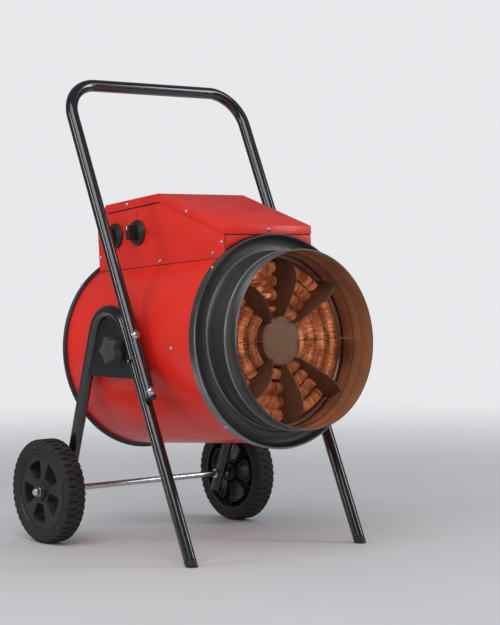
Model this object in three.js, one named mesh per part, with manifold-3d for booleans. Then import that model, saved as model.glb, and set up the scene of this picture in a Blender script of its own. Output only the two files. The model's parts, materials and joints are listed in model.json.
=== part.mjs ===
// Forced air heater: a red steel drum that tilts in a black tubular trolley.
// Millimetres, +Z up, the outlet faces -Y, the wheels are at +Y, the knobs at -X.
import * as THREE from 'three';
import { mergeVertices } from 'three/addons/utils/BufferGeometryUtils.js';
import Module from 'manifold-3d';

const wasm = await Module();
wasm.setup();

// ---------------------------------------------------------------- driving sizes
const fit = 0.4;                  // gap between pieces that touch
const running = 0.3;              // radial gap of a shaft in its bore
const sheet = 1.2;                // sheet steel
const drumFacets = 40;            // the coaxial rings share one count, so they nest
const tubeFacets = 8;
const boltFacets = 10;

// trolley tubes
const tubeRadius = 11.5;
const tubeWall = 1.5;
const frameHalfWidth = 206;       // side frame's centre line where the two legs would meet
const footHalfWidth = 203.5;
const axleLegHalfWidth = 190;     // rear legs draw in beside the wheels
const footY = -180;
const legLean = 0.455;            // front leg's run back for each unit of rise
const archRadius = 57;
const archVertexHeight = 541;     // where the two legs' centre lines would meet
const legBelowAxle = 34;
const plugLength = 6;
const plugRimWidth = 0.8;

// handle
const handleHalfWidth = 210.5;    // the handle stands a little outside the front legs
const handleTopHeight = 881;
const handleLowHeight = 293.5;
const handleBendRadius = 70;
const handleCapLength = 2.8;
const handleCapInsert = 5;
const handleBoltFromEnd = 9;       // rise from the handle's lower end to its first bolt
const handleBoltSpacing = 100.5;
const boltRadius = 4;
const boltHeadRadius = 7.6;
const boltHeadHeight = 5;
const boltTail = 4;

// wheels
const wheelRadius = 100;
const wheelWidth = 41.4;
const wheelOuterFace = 254.6;
const axleY = 230;
const axleRadius = 6;
const axleCollarRadius = 9.5;
const axleCollarThickness = 3;
const tyreThickness = 21;
const hubRadius = 17;
const hubStandOut = 2;
const webThickness = 7;
const webStandOut = 13;             // the web's middle, out from the wheel's middle
const wheelRimWall = 5;
const windowCount = 5;
const wheelFacets = 32;
const axleNutRadius = 10;
const axleNutLength = 12;

// drum and its outlet, along the drum's own axis from the tilt pivot
const pivotY = 25;
const pivotHeight = 377.8;
const restTilt = 4;               // degrees, outlet up
const drumRadius = 186.6;
const drumFront = -197.9;
const drumRear = 210;
const collarRadius = 197.8;
const collarBand = 21;            // length of the outlet collar's outer band
const spigotRadius = 162.8;
const spigotFront = -287.5;
const spigotRear = -227;
const spigotBead = 2;
const rearRingRadius = 194.2;
const rearRingWidth = 8;
const guardWire = 3.4;
const guardRings = 4;
const guardPlate = 30;
const guardFacets = 24;

// heating elements and their supports
const elementRadii = [60, 85.5, 111, 136.5];
const rearElementRadii = [98.2, 123.8];
const elementFrontPlane = -203;
const elementRearPlane = -181;
const finRadius = 10;
const elementTubeRadius = 4.25;
const elementFacets = 6;
const elementSteps = 24;
const elementGapAngle = 112.5;    // degrees, where the terminals leave the rings
const terminalSpread = 14;
const terminalLength = 85;
const supportCount = 8;
const supportThickness = 1.6;
const baffleRadius = 45.6;
const baffleFront = -217;
const baffleDepth = 57;
const linerRadius = 154.4;
const linerRear = -40;
const linerLip = 3;               // the liner's front edge, ahead of the front elements

// fan and motor
const fanRadius = 172;
const fanPlane = 66;
const fanHubRadius = 38;
const fanHubLength = 38;
const bladeCount = 5;
const bladeChord = 92;
const bladePitch = 30;
const bladeThickness = 2.4;
const shaftRadius = 7;
const motorRadius = 62;
const motorFront = 100;
const motorRear = 182;
const bracketWidth = 22;
const bracketThickness = 3;
const clampWall = 4;
const clampHalfLength = 14;
const padThickness = 2.5;
const padLength = 18;

// element supports: how far each corner of the blade lies from the axis and before the baffle
const bladeHeelReach = 12;
const shoulderRadius = 75;
const shoulderReach = 32;
const peakInnerRadius = 104;
const peakInnerReach = 49;
const peakOuterRadius = 126;
const peakOuterReach = 51;
const brimRadius = 138;
const brimReach = 45;
const brimFootReach = 5;

// control box, seen from the side
const boxHalfWidth = 102.8;
const boxFront = -195;
const boxRear = 202;
const boxRearShoulder = 243.5;
const lidSkirt = 16;
const lidOverhang = 1.8;
const lidEaveY = -197;
const lidEaveHeight = 213.5;
const lidRidgeY = -3;
const lidRidgeHeight = 291;
const lidBackY = 168.3;
const lidBackHeight = 285.6;
const lidDrop = 2.4;              // the housing's edges stay this far below the lid's top
const flapRun = 10.5;             // the lid's rear flap, down the housing's sloping back
const flapDrop = 11.9;
const boxFlange = 12;             // turned in where the housing stands on the drum
const knobHeight = 223;
const selectorY = 69;
const thermostatY = 142;
const dialRadius = 24.5;
const gripRadius = 17;
const gripHeight = 21;
const stemRadius = 3;
const stemDepth = 14;
const selectorSwitchHalf = 23;
const selectorSwitchDepth = 42;
const thermostatHalf = 19;
const thermostatDepth = 32;
const contactorX = 1;
const contactorWidth = 46;
const contactorY = -51;
const contactorLength = 82;
const contactorHeight = 58;
const terminalBlockX = 23;
const terminalBlockWidth = 86;
const terminalBlockY = 135;
const terminalBlockLength = 30;
const terminalBlockHeight = 26;
const glandX = 60;
const glandHeight = 217;
const glandRadius = 12.5;

// tilt clamp
const starKnobRadius = 26;
const starKnobLobes = 5;
const starKnobHead = 20;
const studRadius = 5;
const plateMiddle = 203;
const gussetThickness = 3;
const gussetBottom = 325;

// ---------------------------------------------------------------- finishes
function finish(color, roughness, metalness) {
  return { color, roughness, metalness };
}
const redPaint = finish(0xc8201c, 0.38, 0.1);
const blackTube = finish(0x111113, 0.25, 0.2);
const blackSheet = finish(0x2a2a2c, 0.45, 0.3);
const zinc = finish(0xb9bcc0, 0.3, 0.9);
const bareSteel = finish(0x8f9296, 0.4, 0.9);
const hotElement = finish(0xb05a30, 0.5, 0.8);
const blackPlastic = finish(0x151516, 0.6, 0);
const rubber = finish(0x1b1b1c, 0.85, 0);
const castGrey = finish(0x6b6f73, 0.55, 0.6);
const palePlastic = finish(0xd8d4c8, 0.5, 0);

// ---------------------------------------------------------------- making solids
const radians = THREE.MathUtils.degToRad;

function signedVolume(position, index) {
  const a = new THREE.Vector3();
  const b = new THREE.Vector3();
  const c = new THREE.Vector3();
  let volume = 0;
  for (let i = 0; i < index.length; i += 3) {
    a.fromArray(position, index[i] * 3);
    b.fromArray(position, index[i + 1] * 3);
    c.fromArray(position, index[i + 2] * 3);
    volume += a.dot(b.cross(c)) / 6;
  }
  return volume;
}

// a closed geometry becomes a solid with its faces outwards
function solid(geometry) {
  const bare = geometry.clone();
  bare.deleteAttribute('normal');
  bare.deleteAttribute('uv');
  const merged = mergeVertices(bare, 1e-4);
  const position = new Float32Array(merged.getAttribute('position').array);
  const all = merged.getIndex().array;
  let index = [];
  for (let i = 0; i < all.length; i += 3) {
    const [a, b, c] = [all[i], all[i + 1], all[i + 2]];
    if (a !== b && b !== c && c !== a) {
      index.push(a, b, c);
    }
  }
  if (signedVolume(position, index) < 0) {
    index = index.reverse();
  }
  const triVerts = new Uint32Array(index);
  return new wasm.Manifold(new wasm.Mesh({ numProp: 3, vertProperties: position, triVerts }));
}

function mesh(name, body, look) {
  const data = body.getMesh();
  const geometry = new THREE.BufferGeometry();
  const position = new THREE.BufferAttribute(new Float32Array(data.vertProperties), 3);
  geometry.setAttribute('position', position);
  geometry.setIndex(new THREE.BufferAttribute(new Uint32Array(data.triVerts), 1));
  geometry.computeVertexNormals();
  const result = new THREE.Mesh(geometry, new THREE.MeshStandardMaterial(look));
  result.name = name;
  return result;
}

// a profile of [radius, along] points turned about the Y axis
function turned(profile, segments) {
  const points = profile.map(([radius, along]) => new THREE.Vector2(radius, along));
  if (profile[0][0] > 0 || profile[profile.length - 1][0] > 0) {
    points.push(points[0].clone());
  }
  return new THREE.LatheGeometry(points, segments);
}

// the same, turned about the X axis, with `along` running out to the given side
function turnedAcross(profile, segments, side) {
  return turned(profile, segments).rotateZ(-side * Math.PI / 2);
}

function outline(points) {
  return new THREE.Shape(points.map(([x, y]) => new THREE.Vector2(x, y)));
}

// a flat outline in (x, y), thick along Z and centred on it
function slab(shape, thickness, curveSegments = 8) {
  const options = { depth: thickness, bevelEnabled: false, curveSegments };
  return new THREE.ExtrudeGeometry(shape, options).translate(0, 0, -thickness / 2);
}

// a side outline in (y, z), thick along X and centred on `x`
function sideSlab(shape, thickness, x = 0, curveSegments = 8) {
  const across = new THREE.Matrix4().makeBasis(
    new THREE.Vector3(0, 1, 0), new THREE.Vector3(0, 0, 1), new THREE.Vector3(1, 0, 0));
  return slab(shape, thickness, curveSegments).applyMatrix4(across).translate(x, 0, 0);
}

function block(x0, x1, y0, y1, z0, z1) {
  const box = new THREE.BoxGeometry(x1 - x0, y1 - y0, z1 - z0);
  return box.translate((x0 + x1) / 2, (y0 + y1) / 2, (z0 + z1) / 2);
}

function rod(radius, start, end, sides) {
  const along = end.clone().sub(start);
  const geometry = new THREE.CylinderGeometry(radius, radius, along.length(), sides);
  geometry.translate(0, along.length() / 2, 0);
  const turn = new THREE.Quaternion().setFromUnitVectors(
    new THREE.Vector3(0, 1, 0), along.clone().normalize());
  return geometry.applyQuaternion(turn).translate(start.x, start.y, start.z);
}

// a path with one ring of the tube at each of its points
class StationPath extends THREE.Curve {
  constructor(stations) {
    super();
    this.stations = stations;
  }

  getUtoTmapping(u) {
    return u;
  }

  getPoint(t, target = new THREE.Vector3()) {
    const last = this.stations.length - 1;
    const at = Math.min(Math.max(t * last, 0), last);
    const low = Math.min(Math.floor(at), last - 1);
    return target.lerpVectors(this.stations[low], this.stations[low + 1], at - low);
  }

  getTangent(t, target = new THREE.Vector3()) {
    const last = this.stations.length - 1;
    const here = Math.round(t * last);
    const before = this.stations[Math.max(here - 1, 0)];
    const after = this.stations[Math.min(here + 1, last)];
    const into = this.stations[here].clone().sub(before).normalize();
    const out = after.clone().sub(this.stations[here]).normalize();
    return target.addVectors(into, out).normalize();
  }
}

// straight runs between corners, each inner corner rounded to a radius
function bentRoute(corners, radius, bendSteps) {
  const stations = [corners[0].clone()];
  for (let i = 1; i < corners.length - 1; i += 1) {
    const back = corners[i - 1].clone().sub(corners[i]).normalize();
    const ahead = corners[i + 1].clone().sub(corners[i]).normalize();
    const half = back.angleTo(ahead) / 2;
    const toCentre = back.clone().add(ahead).normalize();
    const centre = corners[i].clone().addScaledVector(toCentre, radius / Math.sin(half));
    const start = corners[i].clone().addScaledVector(back, radius / Math.tan(half)).sub(centre);
    const end = corners[i].clone().addScaledVector(ahead, radius / Math.tan(half)).sub(centre);
    const axis = start.clone().cross(end).normalize();
    const sweep = start.angleTo(end);
    for (let step = 0; step <= bendSteps; step += 1) {
      const spoke = start.clone().applyAxisAngle(axis, sweep * step / bendSteps);
      stations.push(spoke.add(centre));
    }
  }
  stations.push(corners[corners.length - 1].clone());
  return stations;
}

function polygon(radius, sides) {
  const points = [];
  for (let i = 0; i < sides; i += 1) {
    const angle = 2 * Math.PI * (i + 0.5) / sides;
    points.push([radius * Math.cos(angle), radius * Math.sin(angle)]);
  }
  return points;
}

function tube(stations, radius, bore, sides) {
  const section = outline(polygon(radius, sides));
  if (bore > 0) {
    section.holes.push(outline(polygon(bore, sides)));
  }
  const path = new StationPath(stations);
  return new THREE.ExtrudeGeometry(section, { steps: stations.length - 1, extrudePath: path });
}

const point = (x, y, z) => new THREE.Vector3(x, y, z);
const bothSides = [['left', -1], ['right', 1]];
const model = new THREE.Group();

// ---------------------------------------------------------------- trolley geometry
const legDirection = point(0, legLean, 1).normalize();
const legForward = point(0, -1, legLean).normalize();
const archVertexY = footY + legLean * archVertexHeight;
const rearLean = (axleY - archVertexY) / (archVertexHeight - wheelRadius);
function frontLegPoint(side, height) {
  const halfWidth = THREE.MathUtils.mapLinear(
    height, 0, archVertexHeight, footHalfWidth, frameHalfWidth);
  return point(side * halfWidth, footY + legLean * height, height);
}

// the handle lies against the front of the leg, clear of it by the fit
const handleStepOut = handleHalfWidth - frameHalfWidth;
const handleForward = Math.sqrt((2 * tubeRadius + fit) ** 2 - handleStepOut ** 2);
const lowBoltHeight = handleLowHeight + handleBoltFromEnd - handleForward * legForward.z;
const handleBoltHeights = [lowBoltHeight, lowBoltHeight + handleBoltSpacing];

function rearLegPoint(side, height) {
  const halfWidth = THREE.MathUtils.mapLinear(
    height, archVertexHeight, wheelRadius, frameHalfWidth, axleLegHalfWidth);
  return point(side * halfWidth, axleY - rearLean * (height - wheelRadius), height);
}

function handlePoint(side, height) {
  const onLeg = point(0, footY + legLean * height, height);
  const run = handleForward * (1 + legLean ** 2) ** 0.5;
  return onLeg.add(point(side * handleHalfWidth, -run, 0));
}

// a bolt's axis passes through the centres of the front leg and the handle
function boltLine(side, height) {
  const onLeg = frontLegPoint(side, height);
  const outwards = point(side * handleHalfWidth - onLeg.x, 0, 0);
  outwards.addScaledVector(legForward, handleForward);
  return { onLeg, outwards: outwards.normalize() };
}

function boltHole(side, height, spare = running) {
  const { onLeg, outwards } = boltLine(side, height);
  const start = onLeg.clone().addScaledVector(outwards, -3 * tubeRadius);
  const end = onLeg.clone().addScaledVector(outwards, 5 * tubeRadius);
  const radius = (boltRadius + spare) / Math.cos(Math.PI / boltFacets);
  return solid(rod(radius, start, end, boltFacets));
}

// ---------------------------------------------------------------- side frames
const insertRadius = (tubeRadius - tubeWall) * Math.cos(Math.PI / tubeFacets) - fit;
const legEndHeight = (plugLength + tubeRadius * legLean) / (1 + legLean ** 2) ** 0.5;

for (const [label, side] of bothSides) {
  const corners = [
    frontLegPoint(side, legEndHeight),
    frontLegPoint(side, archVertexHeight),
    rearLegPoint(side, wheelRadius - legBelowAxle),
  ];
  const route = bentRoute(corners, archRadius, 7);
  let frame = solid(tube(route, tubeRadius, tubeRadius - tubeWall, tubeFacets));
  for (const height of handleBoltHeights) {
    frame = frame.subtract(boltHole(side, height));
  }
  const axleHole = rod(axleRadius + running, point(0, axleY, wheelRadius),
    point(side * wheelOuterFace, axleY, wheelRadius), 16);
  frame = frame.subtract(solid(axleHole));
  model.add(mesh(`side_frame_${label}`, frame, blackTube));

  // pivot plate, let in between the two legs
  const inner = tubeRadius + fit;
  const bend = route.slice(1, -1);
  const centre = bend[0].clone().add(bend[bend.length - 1]).multiplyScalar(0.5);
  const edge = bend.map((at, i) => {
    const next = bend[Math.min(i + 1, bend.length - 1)];
    const last = bend[Math.max(i - 1, 0)];
    const run = next.clone().sub(last).normalize();
    const inwards = point(0, run.z, -run.y);
    if (inwards.dot(centre.clone().sub(at)) < 0) {
      inwards.negate();
    }
    return [at.y + inwards.y * inner, at.z + inwards.z * inner];
  });
  const frontStep = inner * (1 + legLean ** 2) ** 0.5;
  const rearStep = inner * (1 + rearLean ** 2) ** 0.5;
  const plateOutline = [
    [footY + legLean * gussetBottom + frontStep, gussetBottom],
    ...edge,
    [axleY - rearLean * (gussetBottom - wheelRadius) - rearStep, gussetBottom],
  ];
  let plate = solid(sideSlab(outline(plateOutline), gussetThickness, side * plateMiddle));
  const studHole = rod(studRadius + running, point(0, pivotY, pivotHeight),
    point(side * wheelOuterFace, pivotY, pivotHeight), 20);
  plate = plate.subtract(solid(studHole));
  plate = plate.subtract(boltHole(side, Math.max(...handleBoltHeights), 1));
  model.add(mesh(`pivot_plate_${label}`, plate, blackTube));

  // foot plug: a rimmed plug in the leg's end, flat where it stands
  const end = frontLegPoint(side, legEndHeight);
  const plugTop = end.clone().addScaledVector(legDirection, 14);
  const plugFace = end.clone().addScaledVector(legDirection, -fit);
  const plugBottom = end.clone().addScaledVector(legDirection, -plugLength * 4);
  const insert = solid(rod(insertRadius, plugFace, plugTop, 12));
  const rim = solid(rod(tubeRadius + plugRimWidth, plugBottom, plugFace, 16));
  const floorCut = solid(block(
    -wheelOuterFace, wheelOuterFace, 2 * footY, 0, -wheelRadius, 0));
  model.add(mesh(`foot_plug_${label}`, rim.add(insert).subtract(floorCut), blackPlastic));
}

// ---------------------------------------------------------------- handle and its bolts
const handleCorners = [
  handlePoint(-1, handleLowHeight),
  handlePoint(-1, handleTopHeight),
  handlePoint(1, handleTopHeight),
  handlePoint(1, handleLowHeight),
];
const handleRoute = bentRoute(handleCorners, handleBendRadius, 6);
let handle = solid(tube(handleRoute, tubeRadius, tubeRadius - tubeWall, tubeFacets));
for (const [, side] of bothSides) {
  for (const height of handleBoltHeights) {
    handle = handle.subtract(boltHole(side, height));
  }
}
model.add(mesh('handle_tube', handle, blackTube));

for (const [label, side] of bothSides) {
  const end = handlePoint(side, handleLowHeight);
  const face = end.clone().addScaledVector(legDirection, -fit);
  const insertTop = end.clone().addScaledVector(legDirection, handleCapInsert);
  const capEnd = face.clone().addScaledVector(legDirection, -handleCapLength);
  const cap = solid(rod(tubeRadius, capEnd, face, 12));
  const insert = solid(rod(insertRadius, face, insertTop, 10));
  model.add(mesh(`handle_cap_${label}`, cap.add(insert), blackPlastic));

  for (const [i, height] of handleBoltHeights.entries()) {
    const { onLeg, outwards } = boltLine(side, height);
    const under = 3 * tubeRadius + 2 * fit;
    const tail = -tubeRadius - boltTail;
    const profile = [
      [0, tail],
      [boltRadius, tail],
      [boltRadius, under],
      [boltHeadRadius, under],
      [boltHeadRadius * 0.86, under + boltHeadHeight * 0.6],
      [boltHeadRadius * 0.45, under + boltHeadHeight * 0.95],
      [0, under + boltHeadHeight],
    ];
    const turn = new THREE.Quaternion().setFromUnitVectors(point(0, 1, 0), outwards);
    const bolt = turned(profile, boltFacets).applyQuaternion(turn);
    bolt.translate(onLeg.x, onLeg.y, onLeg.z);
    const place = ['lower', 'upper'][i];
    model.add(mesh(`handle_bolt_${place}_${label}`, solid(bolt), zinc));
  }
}

// ---------------------------------------------------------------- axle and wheels
const wheelInnerFace = wheelOuterFace - wheelWidth;
const axleEnd = wheelOuterFace + hubStandOut + axleNutLength - 4;
const collarInner = axleLegHalfWidth - tubeRadius - fit - axleCollarThickness;
const axleProfile = [
  [0, -axleEnd],
  [axleRadius, -axleEnd],
  [axleRadius, -collarInner - axleCollarThickness],
  [axleCollarRadius, -collarInner - axleCollarThickness],
  [axleCollarRadius, -collarInner],
  [axleRadius, -collarInner],
  [axleRadius, collarInner],
  [axleCollarRadius, collarInner],
  [axleCollarRadius, collarInner + axleCollarThickness],
  [axleRadius, collarInner + axleCollarThickness],
  [axleRadius, axleEnd],
  [0, axleEnd],
];
const axle = turnedAcross(axleProfile, 16, 1).translate(0, axleY, wheelRadius);
model.add(mesh('axle', solid(axle), zinc));

const rimRadius = wheelRadius - tyreThickness - fit;
const wheelBore = axleRadius + running;

function wheelCentre(side) {
  const middle = wheelOuterFace - wheelWidth / 2;
  const rimHalf = wheelWidth / 2 - 2;
  const hubHalf = wheelWidth / 2 + hubStandOut;
  const webInside = middle + webStandOut - webThickness / 2;
  const webOutside = webInside + webThickness;
  const rimInner = rimRadius - wheelRimWall;
  const profile = [
    [wheelBore, middle - hubHalf],
    [hubRadius, middle - hubHalf],
    [hubRadius + 1.5, webInside],
    [rimInner - 1.5, webInside],
    [rimInner, middle - rimHalf],
    [rimRadius, middle - rimHalf],
    [rimRadius, middle + rimHalf],
    [rimInner, middle + rimHalf],
    [rimInner - 1.5, webOutside],
    [hubRadius + 1.5, webOutside],
    [hubRadius, middle + hubHalf],
    [wheelBore, middle + hubHalf],
  ];
  let body = solid(turnedAcross(profile, wheelFacets, side));
  const windowInner = hubRadius + 9;
  const windowOuter = rimInner - 9;
  const windowHalfAngle = radians(24);
  for (let i = 0; i < windowCount; i += 1) {
    const centreAngle = 2 * Math.PI * i / windowCount + Math.PI / 2;
    const shape = new THREE.Shape();
    shape.absarc(0, 0, windowOuter, centreAngle - windowHalfAngle,
      centreAngle + windowHalfAngle, false);
    shape.absarc(0, 0, windowInner, centreAngle + windowHalfAngle * 0.7,
      centreAngle - windowHalfAngle * 0.7, true);
    const cutter = sideSlab(shape, webThickness + 2, side * (middle + webStandOut), 2);
    body = body.subtract(solid(cutter));
  }
  return body;
}

for (const [label, side] of bothSides) {
  const middle = wheelOuterFace - wheelWidth / 2;
  const half = wheelWidth / 2;
  const inner = wheelRadius - tyreThickness;
  const centre = wheelCentre(side).translate([0, axleY, wheelRadius]);
  model.add(mesh(`wheel_centre_${label}`, centre, blackPlastic));

  const tyreProfile = [
    [inner, middle - half + 2],
    [inner + 6, middle - half],
    [wheelRadius - 6, middle - half],
    [wheelRadius, middle - half + 5],
    [wheelRadius, middle + half - 5],
    [wheelRadius - 6, middle + half],
    [inner + 6, middle + half],
    [inner, middle + half - 2],
  ];
  const tyre = turnedAcross(tyreProfile, wheelFacets, side).translate(0, axleY, wheelRadius);
  model.add(mesh(`tyre_${label}`, solid(tyre), rubber));

  // spacer tube between the rear leg and the wheel's hub
  const spacerStart = axleLegHalfWidth + tubeRadius + fit;
  const spacerEnd = wheelInnerFace - hubStandOut - fit;
  const spacerProfile = [
    [wheelBore, spacerStart],
    [axleCollarRadius, spacerStart],
    [axleCollarRadius, spacerEnd],
    [wheelBore, spacerEnd],
  ];
  const spacer = turnedAcross(spacerProfile, 16, side).translate(0, axleY, wheelRadius);
  model.add(mesh(`wheel_spacer_${label}`, solid(spacer), zinc));

  // domed nut on the axle's end
  const nutStart = wheelOuterFace + hubStandOut + fit;
  const nutEnd = nutStart + axleNutLength;
  const nutProfile = [
    [wheelBore, nutStart],
    [axleNutRadius, nutStart],
    [axleNutRadius, nutStart + axleNutLength * 0.45],
    [axleNutRadius * 0.72, nutStart + axleNutLength * 0.85],
    [axleNutRadius * 0.3, nutEnd],
    [0, nutEnd],
    [0, axleEnd + fit],
    [wheelBore, axleEnd + fit],
  ];
  const nut = turnedAcross(nutProfile, 18, side).translate(0, axleY, wheelRadius);
  model.add(mesh(`axle_nut_${label}`, solid(nut), zinc));
}

// ---------------------------------------------------------------- drum, tilted about its pivot
const drum = new THREE.Group();
drum.position.set(0, pivotY, pivotHeight);
drum.rotation.x = -radians(restTilt);
model.add(drum);

const drumProfile = [
  [drumRadius, drumFront],
  [drumRadius, drumRear],
  [drumRadius - sheet, drumRear],
  [drumRadius - sheet, drumFront],
];
drum.add(mesh('drum_shell', solid(turned(drumProfile, drumFacets)), redPaint));

const ringFace = drumRear + 3;
const ringInner = drumRadius + fit;
const rearRingProfile = [
  [ringInner, ringFace - rearRingWidth],
  [rearRingRadius - 1.6, ringFace - rearRingWidth + 2.5],
  [rearRingRadius, ringFace - rearRingWidth / 2],
  [rearRingRadius - 1.2, ringFace - 1.2],
  [rearRingRadius - 4.2, ringFace],
  [drumRadius - 3, ringFace],
  [drumRadius - 3, drumRear + fit],
  [ringInner, drumRear + fit],
];
drum.add(mesh('rear_ring', solid(turned(rearRingProfile, drumFacets)), blackSheet));

// rear guard: wire rings on eight wire spokes round a middle plate
const guardPlane = ringFace + fit;
const guardRadius = rearRingRadius - 7;
let guard = solid(turned([[0, guardPlane], [guardPlate, guardPlane],
  [guardPlate, guardPlane + guardWire], [0, guardPlane + guardWire]], guardFacets));
for (let i = 1; i <= guardRings; i += 1) {
  const radius = guardPlate + (guardRadius - guardPlate) * i / guardRings;
  const ring = turned([[radius - guardWire, guardPlane], [radius, guardPlane],
    [radius, guardPlane + guardWire], [radius - guardWire, guardPlane + guardWire]], guardFacets);
  guard = guard.add(solid(ring));
}
for (let i = 0; i < 4; i += 1) {
  const spoke = block(-guardRadius + 1, guardRadius - 1, guardPlane + 0.4,
    guardPlane + guardWire - 0.4, -guardWire / 2, guardWire / 2);
  guard = guard.add(solid(spoke.rotateY(i * Math.PI / 4)));
}
drum.add(mesh('rear_guard', guard, blackSheet));

// outlet collar: folded band, rolled lip, dished face and the neck that carries the spigot
const collarRear = drumFront + 4.9;
const collarFront = collarRear - collarBand;
const neckRadius = spigotRadius - 1.4 - fit;
const neckFront = spigotRear - 9;
const collarProfile = [
  [drumRadius + fit, collarRear],
  [collarRadius - 1.5, collarRear],
  [collarRadius - 1.5, collarFront + 5.5],
  [collarRadius, collarFront + 3.5],
  [collarRadius - 0.2, collarFront + 0.8],
  [collarRadius - 2.4, collarFront],
  [collarRadius - 5.2, collarFront + 2.4],
  [collarRadius - 7.3, collarFront + 8.5],
  [collarRadius - 15, collarFront + 13.6],
  [neckRadius + 5.1, collarFront + 10.5],
  [neckRadius, collarFront + 3],
  [neckRadius, neckFront],
  [neckRadius - 1.5, neckFront],
  [neckRadius - 1.5, collarFront + 3.7],
  [neckRadius + 4.1, collarFront + 12.1],
  [collarRadius - 24.1, collarFront + 15.3],
  [drumRadius + fit, collarFront + 15.3],
];
drum.add(mesh('outlet_collar', solid(turned(collarProfile, drumFacets)), blackSheet));

const spigotInner = spigotRadius - 1.4;
const beadPlane = (spigotRear + spigotFront) / 2 + 2.5;
const spigotProfile = [
  [spigotInner, spigotRear],
  [spigotRadius, spigotRear],
  [spigotRadius, beadPlane + 3.5],
  [spigotRadius + spigotBead, beadPlane],
  [spigotRadius, beadPlane - 3.5],
  [spigotRadius, spigotFront + 4.5],
  [spigotRadius + 1.2, spigotFront + 3],
  [spigotRadius + 1.2, spigotFront],
  [spigotInner, spigotFront],
];
drum.add(mesh('outlet_spigot', solid(turned(spigotProfile, drumFacets)), blackSheet));

// inner liner, with a flange that closes the gap to the neck
const linerFront = elementFrontPlane - linerLip;
const linerProfile = [
  [neckRadius - 1.5 - fit, linerFront],
  [neckRadius - 1.5 - fit, linerFront + 1.4],
  [linerRadius, linerFront + 1.4],
  [linerRadius, linerRear],
  [linerRadius - sheet, linerRear],
  [linerRadius - sheet, linerFront],
];
drum.add(mesh('inner_liner', solid(turned(linerProfile, drumFacets)), bareSteel));

const baffleRear = baffleFront + baffleDepth;
const baffleProfile = [
  [0, baffleFront],
  [baffleRadius - 1, baffleFront],
  [baffleRadius, baffleFront + 1],
  [baffleRadius, baffleRear],
  [baffleRadius - sheet, baffleRear],
  [baffleRadius - sheet, baffleFront + sheet],
  [0, baffleFront + sheet],
];
drum.add(mesh('outlet_baffle', solid(turned(baffleProfile, 24)), bareSteel));

// ---------------------------------------------------------------- element supports
const supportInner = baffleRadius + fit;
const supportOuter = (linerRadius - sheet) * Math.cos(Math.PI / drumFacets) - fit;
const supportRear = elementFrontPlane + 3;
const supportOutline = [
  [supportInner, supportRear],
  [supportInner, baffleFront - bladeHeelReach],
  [shoulderRadius, baffleFront - shoulderReach],
  [peakInnerRadius, baffleFront - peakInnerReach],
  [peakOuterRadius, baffleFront - peakOuterReach],
  [brimRadius, baffleFront - brimReach],
  [supportOuter, baffleFront - brimFootReach],
  [supportOuter, supportRear],
];

// each front ring sits in a round notch in the blades' rear edges
let blade = solid(slab(outline(supportOutline), supportThickness));
for (const radius of elementRadii) {
  const sag = radius * (1 - Math.cos(Math.PI / elementSteps));
  const notch = outline(polygon((finRadius + fit + sag) / Math.cos(Math.PI / 8), 8));
  const cutter = slab(notch, supportThickness * 3).translate(radius, elementFrontPlane, 0);
  blade = blade.subtract(solid(cutter));
}
for (let i = 0; i < supportCount; i += 1) {
  const turnedBlade = blade.rotate([0, 360 * i / supportCount, 0]);
  drum.add(mesh(`element_support_${i + 1}`, turnedBlade, bareSteel));
}

// ---------------------------------------------------------------- heating elements
// each is an open ring in a finned envelope, with two bare terminals running back
function heatingElement(radius, plane) {
  const gap = radians(elementGapAngle);
  const bareAngle = Math.asin(terminalSpread / radius);
  const finAngle = Math.asin((terminalSpread + finRadius) / radius);
  const onRing = (angle, distance = radius) => point(
    distance * Math.cos(angle), plane, distance * Math.sin(angle));
  const ringStations = [];
  for (let i = 0; i <= elementSteps; i += 1) {
    const angle = gap + finAngle + (2 * Math.PI - 2 * finAngle) * i / elementSteps;
    ringStations.push(onRing(angle));
  }
  let body = solid(tube(ringStations, finRadius, 0, elementFacets));
  for (const side of [-1, 1]) {
    const corner = onRing(gap + side * bareAngle);
    const into = onRing(gap + side * (finAngle + 0.04));
    const back = corner.clone().add(point(0, terminalLength, 0));
    const route = bentRoute([back, corner, into], elementTubeRadius, 2);
    body = body.add(solid(tube(route, elementTubeRadius, 0, 5)));
  }
  return body;
}

const elementPlaces = [
  ...elementRadii.map((radius) => [radius, elementFrontPlane]),
  ...rearElementRadii.map((radius) => [radius, elementRearPlane]),
];
elementPlaces.forEach(([radius, plane], i) => {
  drum.add(mesh(`heating_element_${i + 1}`, heatingElement(radius, plane), hotElement));
});

// ---------------------------------------------------------------- fan and motor
const fanFront = fanPlane - fanHubLength / 2;
const fanRear = fanPlane + fanHubLength / 2;
const fanBore = shaftRadius + running;
let fan = solid(turned([
  [0, fanFront],
  [fanHubRadius - 4, fanFront],
  [fanHubRadius, fanFront + 4],
  [fanHubRadius, fanRear],
  [fanBore, fanRear],
  [fanBore, fanFront + 5],
  [0, fanFront + 5],
], 20));
const bladeOutline = [
  [fanHubRadius - 6, -bladeChord * 0.28],
  [fanRadius * 0.62, -bladeChord * 0.5],
  [fanRadius * 0.93, -bladeChord * 0.46],
  [fanRadius * 0.985, -bladeChord * 0.2],
  [fanRadius * 0.985, bladeChord * 0.22],
  [fanRadius * 0.9, bladeChord * 0.46],
  [fanRadius * 0.55, bladeChord * 0.4],
  [fanHubRadius - 6, bladeChord * 0.24],
];
for (let i = 0; i < bladeCount; i += 1) {
  const blade = slab(outline(bladeOutline), bladeThickness);
  blade.rotateX(radians(bladePitch));
  blade.rotateY(2 * Math.PI * i / bladeCount);
  fan = fan.add(solid(blade.translate(0, fanPlane, 0)));
}
const fanBoreCut = turned([[0, fanFront + 5], [fanBore, fanFront + 5],
  [fanBore, fanRear + 40], [0, fanRear + 40]], 20);
drum.add(mesh('fan_impeller', fan.subtract(solid(fanBoreCut)), castGrey));

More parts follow.
